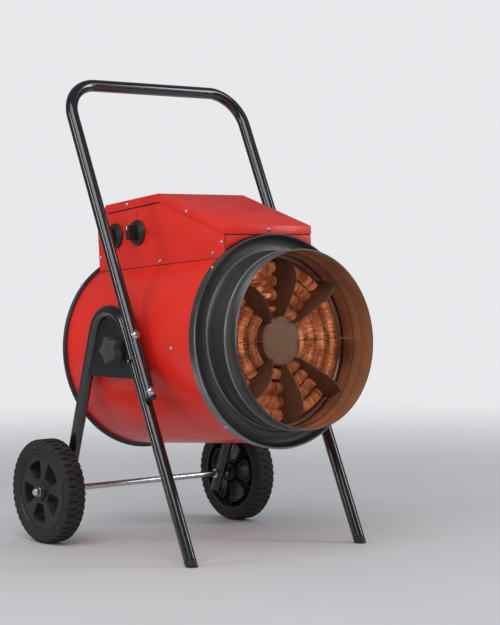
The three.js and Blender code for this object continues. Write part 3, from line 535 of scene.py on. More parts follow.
# ---------------------------------------- axle
# A plain 12 mm zinc-plated bar through both rear legs, with a collar against the inside of
# each leg, a spacer outside it and a domed hexagon nut on each end.
axle_centre = Vector((0, axle_y, axle_height))
on_axle = Matrix.Translation(axle_centre)
axle_radius, axle_end = 6, 264.6
collar_radius, collar_in, collar_out = 9.5, 175.1, 178.1
spacer_in, spacer_out = 201.9, 210.8
axle_bore = 6.3                       # in what slides on the axle
axle_nut_radius, axle_nut_thickness, axle_nut_at = 9.6, 5.4, 261.3


def both_ways(outline):
    """An outline carried on by its mirror image."""
    return outline + [(radius, -along) for radius, along in reversed(outline)]


def sleeve(bore, radius, start, end, chamfer):
    """The outline of a ring with its outer corners taken off."""
    return [(bore, start), (radius - chamfer, start), (radius, start + chamfer),
            (radius, end - chamfer), (radius - chamfer, end), (bore, end)]


bm = bmesh.new()
turned(bm, both_ways([(0, -axle_end), (axle_radius - 0.6, -axle_end),
                      (axle_radius, 0.6 - axle_end),
                      *sleeve(axle_radius, collar_radius, -collar_out, -collar_in, 0.5)]), 1, 32)
move(bm, on_axle)
bright_bar = bare_metal("bright_bar", (0.64, 0.65, 0.67, 1), (0.36, 0.34, 0.31, 1), 0.45, 0.22,
                        (30.0, 900.0, 900.0), 0.05)
make("axle_bar", bm, trolley_seat, bright_bar, "trolley", "axle", 40)

for label, side in both_sides:
    bm = bmesh.new()
    turned(bm, sleeve(axle_bore, collar_radius, spacer_in, spacer_out, 0.5), side, 32, closed=True)
    move(bm, on_axle)
    make(f"wheel_spacer_{label}_sleeve", bm, trolley_seat, zinc, "trolley",
         f"wheel_spacer_{label}", 40)

    bm = bmesh.new()
    turned(bm, sleeve(axle_bore, 10, 257.0, 258.5, 0.3), side, 32, closed=True)
    hexagon(bm, axle_nut_radius, axle_nut_thickness,
            shift(side * axle_nut_at, 0, 0) @ swing(math.pi / 2, "Y") @ swing(0.35, "Z"))
    ease(bm, 0.7, 2, 40)
    turned(bm, [(7.6, 262.5), (7.4, 265.2), (6.2, 267.2), (4.2, 268.4), (0, 269.0)], side, 32)
    move(bm, on_axle)
    make(f"axle_nut_{label}_domed", bm, trolley_seat, zinc, "trolley",
         f"axle_nut_{label}", 32)

# ---------------------------------------- wheel centres
# Each wheel's centre is one black moulding: a hub, a disc with five rounded windows whose
# edges are flanged inwards, and a wide rim that holds the tyre.
wheel_plastic = moulded("wheel_moulding", (0.016, 0.016, 0.017, 1), 0.46, 500.0, 0.1, 0.10)
wheel_radius, wheel_half = 100, 20.7  # half its width
wheel_middle = 254.6 - wheel_half
wheel_turn = math.radians(-8)         # where the windows stand at rest
hub_radius, hub_proud = 18, 2
disc_thickness = 2.4
window_count = 5
window_half = math.radians(23)
window_low, window_high = 25.0, 60.0
window_corner, window_depth = 9.5, 34.0
disc_low, disc_high = 15.0, 73.8
disc_face = 16.5                      # the disc's face, out from the wheel's middle
rim = 78.6


def block(bm, seat, sizes):
    """A plain block of three sizes, laid out by a seat."""
    return bmesh.ops.create_cube(bm, size=1, matrix=seat @ Matrix.Diagonal((*sizes, 1)))["verts"]


def off_axis(at):
    """How far a point of a wheel lies from its axle."""
    return math.hypot(at.y, at.z)


for label, side in both_sides:
    bm = bmesh.new()
    # one fifth of the disc: a fan of strips with the window's cells taken out
    row = [bm.verts.new((disc_face, radius, 0))
           for radius in (disc_low, window_low, window_high, disc_high)]
    last, window_faces = row + [bm.edges.new(pair) for pair in zip(row, row[1:])], []
    spoke = full_turn / window_count / 2 - window_half
    for angle, steps in ((spoke, 3), (2 * window_half, 10), (spoke, 3)):
        seen = set(bm.faces)
        last = bmesh.ops.spin(bm, geom=last, cent=(0, 0, 0), axis=(1, 0, 0), angle=angle,
                              steps=steps)["geom_last"]
        if angle != spoke:
            window_faces += [face for face in set(bm.faces) - seen if window_low
                             < off_axis(face.calc_center_median()) < window_high]
    bmesh.ops.dissolve_faces(bm, faces=window_faces)
    window = max(bm.faces, key=lambda face: len(face.verts))
    corners = []
    for vert in window.verts:
        pair = [edge.other_vert(vert).co - vert.co for edge in vert.link_edges
                if edge in window.edges]
        if pair[0].angle(pair[1]) < math.radians(130):
            corners.append(vert)
    bmesh.ops.delete(bm, geom=[window], context="FACES_ONLY")
    bmesh.ops.bevel(bm, geom=corners, offset=window_corner, offset_type="OFFSET", segments=6,
                    profile=0.5, affect="VERTICES", material=-1)
    bmesh.ops.spin(bm, geom=bm.verts[:] + bm.edges[:] + bm.faces[:], cent=(0, 0, 0),
                   axis=(1, 0, 0), angle=full_turn, steps=window_count, use_duplicate=True)
    bmesh.ops.remove_doubles(bm, verts=bm.verts[:], dist=0.02)
    face_out(bm)
    # the windows' edges turn in through the wheel as short flanges
    edges = [edge for edge in bm.edges if edge.is_boundary and window_low - 3
             < off_axis((edge.verts[0].co + edge.verts[1].co) / 2) < window_high + 3]
    flange = only(BMVert, bmesh.ops.extrude_edge_only(bm, edges=edges)["geom"])
    bmesh.ops.translate(bm, verts=flange, vec=(-window_depth, 0, 0))
    face_out(bm)
    if sum(face.normal.x * face.calc_area() for face in bm.faces) < 0:
        bmesh.ops.reverse_faces(bm, faces=bm.faces[:])
    bmesh.ops.solidify(bm, geom=bm.faces[:], thickness=disc_thickness)
    ease(bm, 0.9, 2, 50)
    # the hub and the rim
    turned(bm, [(axle_bore, -wheel_half - hub_proud), (hub_radius - 2.5, -wheel_half - hub_proud),
                (hub_radius - 1, -wheel_half - 0.5), (hub_radius, 0),
                (hub_radius - 0.6, wheel_half - 1.5), (hub_radius - 2.1, wheel_half + hub_proud),
                (axle_bore, wheel_half + hub_proud)], 1, 60, closed=True)
    turned(bm, [(rim, -wheel_half + 2), (rim, wheel_half - 2), (rim - 1.2, wheel_half - 0.9),
                (rim - 3.4, wheel_half - 0.9), (rim - 4.4, wheel_half - 1.9),
                (rim - 5.2, disc_face + 0.4), (rim - 6.4, disc_face - 0.5),
                (rim - 9, disc_face - 0.6), (rim - 9, disc_face - 3),
                (rim - 5.6, disc_face - 4), (rim - 4.6, -wheel_half + 2)], 1, 96, closed=True)
    # five ribs behind the disc, between the windows
    for i in range(window_count):
        block(bm, swing(full_turn * i / window_count, "X") @ shift(disc_face - 13, 45, 0),
              (23, 56, 2.6))
    place = on_axle @ shift(side * wheel_middle, 0, 0)
    if side < 0:
        place = place @ swing(math.pi, "Z")
    move(bm, place @ swing(wheel_turn * side, "X"))
    make(f"wheel_centre_{label}_moulding", bm, trolley_seat, wheel_plastic, f"wheel_{label}",
         f"wheel_centre_{label}", 38)

# ---------------------------------------- tyres
# Solid moulded rubber tyres, snapped on. Two rows of blocks stand on the tread, set half
# a pitch apart, and a raised line runs round each sidewall.
rubber, tree, shader = blank("tyre_rubber", specular=0.3)
at, _ = surface(tree)
cloud = noise(tree, at, 32, 6, 0.65)
tones = blended(tree, cloud, (0.011, 0.011, 0.0115, 1), (0.034, 0.033, 0.032, 1))
feed(tree, shader, {
    "Base Color": dusted(tree, tones, 0.16, 55.0, (0.24, 0.23, 0.21, 1)),
    "Roughness": ramp(tree, cloud, 0.3, 0.7, 0.62, 0.86),
    "Normal": relief(tree, noise(tree, at, 480, 3), 0.2, 0.0006)})

block_count, groove_depth = 44, 2.6
block_pitch = full_turn / block_count
block_sweep = block_pitch * 0.64
base = wheel_radius - groove_depth
for label, side in both_sides:
    bm = bmesh.new()
    turned(bm, both_ways([(79.0, -wheel_half + 2.2), (81.5, -wheel_half + 0.6),
                          (85, -wheel_half), (88, -wheel_half), (88.8, -wheel_half + 0.7),
                          (90.4, -wheel_half + 0.7), (91.2, -wheel_half),
                          (93.4, -wheel_half + 0.2), (base, -wheel_half + 3.2)]),
           1, 120, closed=True)
    for row, inward in enumerate((1, -1)):
        before = set(bm.verts)
        shoulder = inward * (0.5 - wheel_half)
        middle = inward * 1.2
        outline = [(93.6, shoulder), (97.2, shoulder + inward * 0.6),
                   (wheel_radius - 0.3, shoulder + inward * 3.6),
                   (wheel_radius, shoulder + inward * 6), (wheel_radius, middle),
                   (base - 1, middle), (base - 1, shoulder + inward * 4)]
        ring = [bm.verts.new((along, 0, radius)) for radius, along in outline]
        profile = [bm.edges.new(pair) for pair in zip(ring, ring[1:] + ring[:1])]
        end = bmesh.ops.spin(bm, geom=ring + profile, cent=(0, 0, 0), axis=(1, 0, 0),
                             angle=block_sweep, steps=4)["geom_last"]
        bmesh.ops.contextual_create(bm, geom=profile)
        bmesh.ops.contextual_create(bm, geom=only(BMEdge, end))
        new = added(bm, before)
        bmesh.ops.transform(bm, matrix=swing(block_pitch * row / 2, "X"), verts=new)
        bmesh.ops.spin(bm, geom=new + joined_to(new) + joined_to(new, "link_faces"),
                       cent=(0, 0, 0), axis=(1, 0, 0), angle=full_turn, steps=block_count,
                       use_duplicate=True)
        bmesh.ops.remove_doubles(bm, verts=added(bm, before), dist=0.02)
    face_out(bm)
    move(bm, on_axle @ shift(side * wheel_middle, 0, 0))
    make(f"tyre_{label}_moulding", bm, trolley_seat, rubber, f"wheel_{label}",
         f"tyre_{label}", 30)

# ---------------------------------------- drum shell
# A cylinder rolled from 1.2 mm sheet, seam underneath, in red powder coat. The drum is drawn
# in millimetres from its tilt pivot, along its own axis.
rest_tilt = math.radians(4)
drum_seat = Matrix.Translation(joint_at["drum_tilt"]) @ swing(-rest_tilt, "X") @ to_metres
sheet = 1.2
drum_radius = 186.6
drum_front, drum_rear = -197.9, 210
red_coat = coated("red_powder_coat", (0.72, 0.023, 0.012, 1), 0.31, 0.12, 0.04, 380.0,
                  dust=0.03, coat=0.05, specular=0.36, dust_colour=(0.60, 0.30, 0.26, 1))
bm = bmesh.new()
turned(bm, [(drum_radius, drum_front), (drum_radius, drum_rear),
            (drum_radius - sheet, drum_rear), (drum_radius - sheet, drum_front)], "Y", 144,
       closed=True)
make("drum_shell_rolled", bm, drum_seat, red_coat, "drum", "drum_shell", 30)

# ---------------------------------------- rear ring and guard
# A pressed black ring closes the drum's rear edge, and a guard of welded steel wire is
# clipped to its face.
ring_face = drum_rear + 3
grey_black = coated("satin_black_sheet", (0.026, 0.027, 0.028, 1), 0.40, 0.35, 0.08, 520.0,
                    dust=0.08)
bm = bmesh.new()
turned(bm, [(187.0, ring_face - 8), (190.6, ring_face - 7.7), (192.9, ring_face - 6.4),
            (194.0, ring_face - 5.0), (194.2, ring_face - 3.8), (193.6, ring_face - 1.8),
            (192.2, ring_face - 0.6), (190.2, ring_face), (184.4, ring_face),
            (183.6, ring_face - 0.6), (183.6, drum_rear + 0.4), (187.0, drum_rear + 0.4)],
       "Y", 144, closed=True)
make("rear_ring_pressing", bm, drum_seat, grey_black, "drum", "rear_ring", 40)

thin_wire, stout_wire = 1.6, 1.7      # the rings, and the spokes and outer ring
guard_y = ring_face + 0.4 + stout_wire
guard_plate, guard_rim = 30, 187.2
ring_count, spoke_count = 12, 8
bm = bmesh.new()
for i in range(ring_count + 1):
    radius = guard_plate - 2 + (guard_rim - stout_wire - guard_plate + 2) * i / ring_count
    loop = bmesh.ops.create_circle(
        bm, segments=8, radius=thin_wire if i < ring_count else stout_wire,
        matrix=shift(0, guard_y, radius) @ swing(math.pi / 2, "Y"))["verts"]
    bmesh.ops.spin(bm, geom=loop + joined_to(loop), cent=(0, 0, 0), axis=(0, 1, 0),
                   angle=full_turn, steps=96, use_merge=True)
for i in range(spoke_count):
    turn = swing(full_turn * i / spoke_count, "Y")
    sweep(bm, [turn @ Vector((0, guard_y, guard_plate - 4)),
               turn @ Vector((0, guard_y, guard_rim - 2))], 1, stout_wire, 8)
turned(bm, [(0, guard_y + 1.7), (22, guard_y + 1.7), (27, guard_y + 1.2),
            (guard_plate, guard_y - 0.8), (guard_plate, guard_y - 1.7), (0, guard_y - 1.7)],
       "Y", 48)
face_out(bm)
make("rear_guard_wires", bm, drum_seat, satin_black, "drum", "rear_guard", 50)

# ---------------------------------------- outlet collar and spigot
# The collar is spun from sheet: a band over the drum's edge, a rolled lip, a dished face
# and a neck. The beaded spigot fits over the neck and takes a flexible duct.
collar_rear = drum_front + 4.9
collar_front = collar_rear - 21
spigot_front, spigot_rear, spigot_radius = -287.5, -227.0, 162.8
bead = -254.75


def reckon_vector(tree, operation, first, second=None):
    """One step with vectors, which gives a vector or, where it measures one, a number."""
    values = {0: first} if second is None else {0: first, 1: second}
    node = wire(tree, "ShaderNodeVectorMath", {"operation": operation}, values)
    return node.outputs["Value" if operation in ("DOT_PRODUCT", "LENGTH") else "Vector"]


duct_black, tree, shader = blank("duct_black_sheet", specular=0.45)
at, faces = surface(tree)
spray = sprayed(tree, (0.052, 0.050, 0.049, 1), 0.36, 0.55, 0.03, 520.0)
from_axis = reckon_vector(tree, "SUBTRACT", at, tuple(drum_seat @ Vector((0, -250, 0))))
crosswise = reckon_vector(tree, "MULTIPLY", from_axis, (1.0, 0.0, 1.0))
out_from_axis = reckon_vector(tree, "LENGTH", crosswise)
clouds = noise(tree, at, 14, 5, 0.6)
# painted glow: the orange light of the elements is painted onto the spigot's bore, which faces the
# axis
facing_in = ramp(tree, reckon_vector(tree, "DOT_PRODUCT", crosswise, faces), -0.13, -0.155)
bore = reckon(tree, "MULTIPLY", facing_in, ramp(tree, out_from_axis, 0.1645, 0.1632))
painted_element_glow = reckon(tree, "MULTIPLY", bore, ramp(tree, clouds, 0.25, 0.75, 0.55))
toned = blended(tree, painted_element_glow, spray["Colour"], (0.38, 0.135, 0.055, 1))
# the lip and the bead stand proud, and a painted highlight in lighter grey lies on them
lip = ramp(tree, out_from_axis, 0.1966, 0.1975)
bead_top = reckon(tree, "MULTIPLY", ramp(tree, out_from_axis, 0.1632, 0.1640),
                  ramp(tree, out_from_axis, 0.1656, 0.1650))
painted_lip_highlight = reckon(tree, "MULTIPLY", reckon(tree, "MAXIMUM", lip, bead_top),
                ramp(tree, clouds, 0.3, 0.7, 0.25, 0.85))
feed(tree, shader, {
    "Base Color": blended(tree, painted_lip_highlight, toned, (0.26, 0.26, 0.27, 1)),
    "Roughness": spray["Roughness"], "Normal": spray["Normal"]})

bm = bmesh.new()
turned(bm, [(187.0, collar_rear), (195.2, collar_rear), (196.1, collar_rear - 0.9),
            (196.3, collar_rear - 2.5), (196.3, collar_front + 6.2),
            (196.9, collar_front + 4.6), (197.7, collar_front + 3.6),
            (197.8, collar_front + 2.0), (197.0, collar_front + 0.6),
            (195.6, collar_front), (194.0, collar_front + 0.5),
            (192.7, collar_front + 2.2), (191.3, collar_front + 5.6),
            (189.9, collar_front + 9.0), (187.6, collar_front + 11.8),
            (184.2, collar_front + 13.2), (176, collar_front + 13.6),
            (169.4, collar_front + 12.6), (165.6, collar_front + 10.0),
            (162.2, collar_front + 5.2), (161.0, collar_front + 2.0),
            (161.0, -236.0), (159.5, -236.0), (159.5, collar_front + 3.2),
            (160.8, collar_front + 6.4), (164.6, collar_front + 11.6),
            (169.2, collar_front + 14.2), (176, collar_front + 15.3),
            (187.0, collar_front + 15.3)], "Y", 160, closed=True)
make("outlet_collar_spun", bm, drum_seat, duct_black, "drum",
     "outlet_collar", 34)

bm = bmesh.new()
turned(bm, [(161.4, spigot_rear), (162.6, spigot_rear), (spigot_radius, spigot_rear - 0.4),
            (spigot_radius, bead + 4.2), (163.3, bead + 2.8), (164.3, bead + 1.2),
            (164.8, bead), (164.3, bead - 1.2), (163.3, bead - 2.8),
            (spigot_radius, bead - 4.2), (spigot_radius, spigot_front + 4.8),
            (163.6, spigot_front + 3.4), (164.0, spigot_front + 1.9),
            (163.7, spigot_front + 0.6), (spigot_radius, spigot_front),
            (161.8, spigot_front + 0.4), (161.4, spigot_front + 1.6), (161.4, bead - 3.4),
            (162.2, bead - 1.2), (162.4, bead), (162.2, bead + 1.2), (161.4, bead + 3.4)],
       "Y", 160, closed=True)
make("outlet_spigot_beaded", bm, drum_seat, duct_black, "drum",
     "outlet_spigot", 34)

# ---------------------------------------- liner and baffle
# A plain steel liner keeps the hot air off the drum. The round baffle in the middle of the
# outlet is a pressed cup, browned by heat.
heated_liner = bare_metal("liner_steel", (0.50, 0.36, 0.28, 1), (0.26, 0.15, 0.10, 1), 0.7,
                          0.34, (40.0, 500.0, 40.0), 0.12, 0.85)
bm = bmesh.new()
turned(bm, [(159.1, -206), (159.1, -204.6), (155.2, -204.6), (154.4, -203.8), (154.4, -40),
            (153.2, -40), (153.2, -205.2), (154.0, -206)], "Y", 144, closed=True)
make("inner_liner_rolled", bm, drum_seat, heated_liner, "drum",
     "inner_liner", 34)

baffle_steel = bare_metal("baffle_steel", (0.21, 0.105, 0.058, 1), (0.14, 0.068, 0.040, 1), 0.6,
                          0.52, (260.0, 260.0, 260.0), 0.05, 0.35)
bm = bmesh.new()
turned(bm, [(0, -217.0), (41, -217.0), (43.2, -216.7), (44.9, -215.6), (45.6, -213.8),
            (45.6, -160), (44.4, -160), (44.4, -213), (43.2, -215), (0, -215.6)], "Y", 72)
make("outlet_baffle_cup", bm, drum_seat, baffle_steel, "drum",
     "outlet_baffle", 34)

# ---------------------------------------- element supports
# Eight leaf-shaped plates stand edge-on to the air between the baffle and the liner. The
# element rings sit in notches in their rear edges.
brown_plate = bare_metal("support_steel", (0.17, 0.082, 0.046, 1), (0.075, 0.040, 0.026, 1),
                         0.6, 0.50, (300.0, 60.0, 300.0), 0.08, 0.35)
support_count, leaf_thickness = 8, 1.6
leaf = [(46.0, -200), (46.0, -229), (75, -250), (106, -268), (128, -268), (140, -261),
        (152.5, -226), (152.5, -200)]


def thicken(bm, face, vec):
    """Draws a flat face out into a solid."""
    out = bmesh.ops.extrude_face_region(bm, geom=[face])["geom"]
    bmesh.ops.translate(bm, verts=only(BMVert, out), vec=vec)
    face_out(bm)


for i in range(support_count):
    bm = bmesh.new()
    verts = [bm.verts.new((radius, along, -leaf_thickness / 2)) for radius, along in leaf]
    bm.faces.new(verts)
    bmesh.ops.bevel(bm, geom=verts[2:7], offset=11, offset_type="OFFSET", segments=6,
                    profile=0.5, affect="VERTICES", material=-1, clamp_overlap=True)
    thicken(bm, bm.faces[:][0], (0, 0, leaf_thickness))
    move(bm, swing(full_turn * i / support_count, "Y"))
    make(f"element_support_{i + 1}_leaf", bm, drum_seat, brown_plate, "drum",
         f"element_support_{i + 1}", 30)

# ---------------------------------------- heating elements
# Six open rings of sheathed heating tube with a steel ribbon wound on edge as fins. They
# run hot; the copper-brown fins carry a painted glow, painted shade and painted highlights.
# Two bare terminals turn back from each ring.
front_rings, rear_rings = -203, -181
elements = [(60, front_rings), (85.5, front_rings), (111, front_rings), (136.5, front_rings),
            (98.2, rear_rings), (123.8, rear_rings)]
gap_at, gap_half = math.radians(112.5), 14
fin_radius, fin_thickness, fin_pitch = 10, 0.55, 3.0
sheath_radius = 4.25

glowing, tree, shader = blank("glowing_fins", metallic=0.75)
at, faces = surface(tree)
centred = reckon_vector(tree, "ADD", at, tuple(-(drum_seat @ Vector((0, front_rings, 0)))))
apart = wire(tree, "ShaderNodeSeparateXYZ", {}, {0: centred}).outputs
around = reckon(tree, "ARCTAN2", apart["Z"], apart["X"])
by_fin = wire(tree, "ShaderNodeCombineXYZ", {}, {
    "X": reckon(tree, "MULTIPLY", around, 120.0),
    "Y": reckon(tree, "MULTIPLY", reckon_vector(tree, "LENGTH", centred), 16.0)}).outputs[0]
cloud = noise(tree, centred, 26, 4, 0.6)
# painted shade on a fin's faces, which look along the ring into the next, and a painted highlight
# on its edge
along_ring = reckon_vector(tree, "NORMALIZE", reckon_vector(
    tree, "CROSS_PRODUCT", centred, (0.0, 1.0, 0.0)))
flatness = reckon(tree, "ABSOLUTE", reckon_vector(tree, "DOT_PRODUCT", along_ring, faces))
brighter = ramp(tree, noise(tree, by_fin, 1, 2, 0.7), 0.38, 0.60, 0.05)
fin_painted_light = reckon(tree, "MULTIPLY", brighter, ramp(tree, flatness, 0.9, 0.5, 0.22))
# a painted glow: the fins' emission follows the painted highlights
painted_fin_glow = reckon(tree, "MULTIPLY", fin_painted_light, ramp(tree, cloud, 0.42, 0.6, 0.15))
feed(tree, shader, {
    "Base Color": blended(tree, fin_painted_light, (0.15, 0.050, 0.024, 1), (0.92, 0.46, 0.28, 1)),
    "Roughness": ramp(tree, cloud, 0, 1, 0.24, 0.46),
    "Emission Color": blended(tree, painted_fin_glow, (0.08, 0.018, 0.005, 1), (1.0, 0.36, 0.15, 1))})
shader.inputs["Emission Strength"].default_value = 0.75


def on_ring(radius, angle, along):
    """A point of an element's ring."""
    return Vector((radius * math.cos(angle), along, radius * math.sin(angle)))


for number, (ring, along) in enumerate(elements, 1):
    bm = bmesh.new()
    fin_angle = math.asin((gap_half + fin_radius) / ring)
    ring_sweep = full_turn - 2 * fin_angle
    start = Matrix.Translation(on_ring(ring, gap_at + fin_angle, along)) @ swing(
        -(gap_at + fin_angle), "Y")
    # the sheath, spun round between the two bends
    loop = bmesh.ops.create_circle(bm, segments=12, radius=sheath_radius,
                                   matrix=start)["verts"]
    bmesh.ops.spin(bm, geom=loop + joined_to(loop), cent=(0, along, 0), axis=(0, -1, 0),
                   angle=ring_sweep, steps=90)
    # the fins, one disc copied round at the ribbon's pitch
    disc = bmesh.ops.create_cone(bm, cap_ends=True, segments=14, radius1=fin_radius,
                                 radius2=fin_radius, depth=fin_thickness,
                                 matrix=start)["verts"]
    bmesh.ops.spin(bm, geom=disc + joined_to(disc) + joined_to(disc, "link_faces"),
                   cent=(0, along, 0), axis=(0, -1, 0), angle=ring_sweep,
                   steps=round(ring_sweep * ring / fin_pitch), use_duplicate=True)
    # the two terminals, bent square to the ring and led back to the fan's side
    for way in (-1, 1):
        corner = on_ring(ring, gap_at + way * math.asin(gap_half / ring), along)
        into = on_ring(ring, gap_at + way * (fin_angle + 0.02), along)
        sweep(bm, [corner + Vector((0, 78, 0)), corner, into], 6, sheath_radius, 12, 6)
        for far, near, radius, sides in ((85, 76, 2, 10), (58, 46, 4.9, 14)):
            sweep(bm, [corner + Vector((0, far, 0)), corner + Vector((0, near, 0))], 1,
                  radius, sides)
    close_ends(bm)
    make(f"heating_element_{number}_finned", bm, drum_seat, glowing, "drum",
         f"heating_element_{number}", 40)

# ---------------------------------------- fan and motor
# A five-blade cast fan on the shaft of a ribbed foot-less motor, clamped in a zinc-plated
# ring whose four arms are screwed to the drum.
cast_alloy = bare_metal("cast_alloy", (0.46, 0.47, 0.48, 1), (0.30, 0.29, 0.27, 1), 0.6, 0.46,
                        (220.0, 220.0, 220.0), 0.25, 0.8)
blade_count, blade_root, blade_length, blade_thickness = 5, 34, 135, 2.2
fan_reach, fan_middle = 169, 66
bm = bmesh.new()
turned(bm, [(0, 47), (30, 47), (35, 48.2), (38, 51.5), (38, 85), (7.4, 85), (7.4, 52),
            (0, 52)], "Y", 56)
for i in range(blade_count):
    before = set(bm.verts)
    blade = bmesh.ops.create_grid(bm, x_segments=10, y_segments=6, size=0.5)["verts"]
    for vert in blade:
        out, across = vert.co.x + 0.5, vert.co.y
        reach = across * (52 + 74 * math.sin(min(1, 0.18 + out) * math.pi * 0.56))
        pitch = math.radians(38 - 14 * out)
        camber = 6 * (1 - (2 * across) ** 2)
        swung = Vector((blade_root + blade_length * out,
                        camber * math.cos(pitch) - reach * math.sin(pitch),
                        reach * math.cos(pitch) + camber * math.sin(pitch)))
        vert.co = Matrix.Rotation(math.radians(10) * out ** 2, 3, "Y") @ swung
        over = math.hypot(vert.co.x, vert.co.z)
        if over > fan_reach:
            vert.co.x *= fan_reach / over
            vert.co.z *= fan_reach / over
    bmesh.ops.solidify(bm, geom=joined_to(blade, "link_faces"), thickness=blade_thickness)
    bmesh.ops.transform(bm, matrix=shift(0, fan_middle, 0)
                        @ swing(full_turn * i / blade_count, "Y"), verts=added(bm, before))
face_out(bm)
make("fan_impeller_cast", bm, drum_seat, cast_alloy, "fan",
     "fan_impeller", 40)

bm = bmesh.new()
turned(bm, [(0, 52.4), (6.4, 52.4), (7, 53), (7, 119.4), (6.4, 120), (0, 120)], "Y", 28)
make("motor_shaft_ground", bm, drum_seat, bright_bar, "fan",
     "motor_shaft", 40)

rib_count, arm_count = 28, 4
bm = bmesh.new()
turned(bm, [(7.3, 96), (20, 96), (22, 98), (22, 100), (56, 100), (61, 104), (61.5, 110),
            (57.5, 113), (57.5, 150), (57.5, 168), (61.5, 171), (60.5, 176), (55, 182),
            (0, 182)], "Y", 72)
for i in range(rib_count):
    block(bm, swing(full_turn * i / rib_count, "Y") @ shift(0, 140, 59), (2.2, 60, 5.6))
ease(bm, 0.5, 2, 50)
make("motor_body_ribbed", bm, drum_seat, cast_alloy, "drum", "motor_body", 40)

bm = bmesh.new()
turned(bm, [(62.4, 127), (66.4, 127), (66.4, 155), (62.4, 155)], "Y", 72, closed=True)
for i in range(arm_count):
    arm = swing((i + 0.5) * full_turn / arm_count, "Y")
    block(bm, arm @ shift(124, 141, 0), (118, 3, 22))
    block(bm, arm @ shift(181.8, 149, 0), (2.5, 19, 22))
ease(bm, 0.7, 2, 50)
make("motor_bracket_clamp", bm, drum_seat, zinc, "drum", "motor_bracket", 40)

# ---------------------------------------- control box
# A folded housing stands on the drum on two flanges, and a folded lid caps it. Both are
# 1.2 mm sheet in the drum's red.
for part, width in (("control_housing", 0.0007), ("control_lid", 0.0009)):
    bm = copy_of(part)
    ease(bm, width, 3, 25)
    make(f"{part}_folded", bm, solid_seat, red_coat, "drum", part, 32)

# ---------------------------------------- painted shadow lines
# Thin black strips paint the shadow lines in the joints: along the housing's foot on the
# drum, down its front corners and under the lid's skirt at the front and the rear. Only their
# edges show.
# the strips' black is painted shadow in the joints
seal_rubber = moulded("seal_rubber", (0.010, 0.009, 0.009, 1), 0.7, 600.0, 0.1, 0.02)
box_half, box_foot = 102.8, 155.9


def strip(bm, start, end, height, depth):
    """A square strip between two points of a drawing."""
    start, end = Vector(start), Vector(end)
    along = end - start
    turn = along.to_track_quat("Y", "Z").to_matrix().to_4x4()
    block(bm, Matrix.Translation((start + end) / 2) @ turn, (depth, along.length, height))


bm = bmesh.new()
for _, side in both_sides:
    x = side * (box_half + 0.2)
    strip(bm, (x, -194.6, box_foot), (x, 201.6, box_foot), 1.3, 0.9)
    strip(bm, (x, -194.8, box_foot + 1), (x, -194.8, 196.5), 1.5, 0.9)
    strip(bm, (x + side * 0.2, -6, 273.9), (x + side * 0.2, 163, 268.6), 1.5, 1.0)
strip(bm, (-box_half, -195.2, 196.8), (box_half, -195.2, 196.8), 1.1, 1.0)
ease(bm, 0.15, 1, 40)
make("housing_sealing_strips", bm, drum_seat, seal_rubber, "drum")

# ---------------------------------------- control knobs
# Two black dial knobs on the switches' stems: a round skirt with a bar grip, and a white
# line on the grip's face for a pointer.
face_x = box_half + 0.8
knob_height = 223
selector_y, thermostat_y = 69.0, 142.0
grip_face = 25
knob_plastic = moulded("knob_moulding", (0.012, 0.012, 0.013, 1), 0.36, 800.0, 0.06, 0.04)
white_ink = moulded("white_ink", (0.72, 0.72, 0.70, 1), 0.5, 300.0, 0.02, 0.0)
for name, along in (("selector", selector_y), ("thermostat", thermostat_y)):
    spot = shift(0, along, knob_height)
    bm = bmesh.new()
    turned(bm, [(0, face_x - 12), (3, face_x - 12), (3, face_x), (23.6, face_x),
                (24.5, face_x + 0.8), (24.3, face_x + 2.2), (23.0, face_x + 3.6),
                (20.0, face_x + 4.3), (17.4, face_x + 4.6), (16.8, face_x + 5.6),
                (15.5, face_x + 6.2), (0, face_x + 6.2)], -1, 72)
    # grip: a tapered bar across the dial, with rounded ends
    bar = block(bm, solid_seat, (1, 1, 1))
    for vert in bar:
        outer = vert.co.x < 0
        vert.co.x = -face_x - (grip_face if outer else 5)
        vert.co.y *= 10.5 if outer else 13
        vert.co.z *= 28 if outer else 31
    bmesh.ops.bevel(bm, geom=joined_to(bar), offset=2.2, offset_type="OFFSET", segments=4,
                    profile=0.5, affect="EDGES", material=-1)
    move(bm, spot)
    make(f"{name}_knob_moulding", bm, drum_seat, knob_plastic, f"{name}_knob",
         f"{name}_knob", 35)

    bm = bmesh.new()
    block(bm, shift(0.05 - face_x - grip_face, 0, 9.0), (0.5, 2.4, 8))
    ease(bm, 0.2, 2, 40)
    move(bm, spot)
    make(f"{name}_knob_pointer", bm, drum_seat, white_ink, f"{name}_knob")

# ---------------------------------------- dial marks
# Printed on the panel: four numbered places round the selector, and a ring of ticks that
# grow longer round the thermostat.
black_ink = moulded("black_ink", (0.02, 0.018, 0.018, 1), 0.5, 300.0, 0.02, 0.0)
tick_radius, numeral_radius = 29, 36
selector_places, thermostat_ticks = 4, 11
selector_step, thermostat_step = -math.radians(45), -math.radians(27)


def panel_point(along, angle, radius):
    """A point on the panel beside a knob, clockwise from the top as one looks at it."""
    return shift(-box_half - 0.12, along + radius * math.sin(angle),
                 knob_height + radius * math.cos(angle))


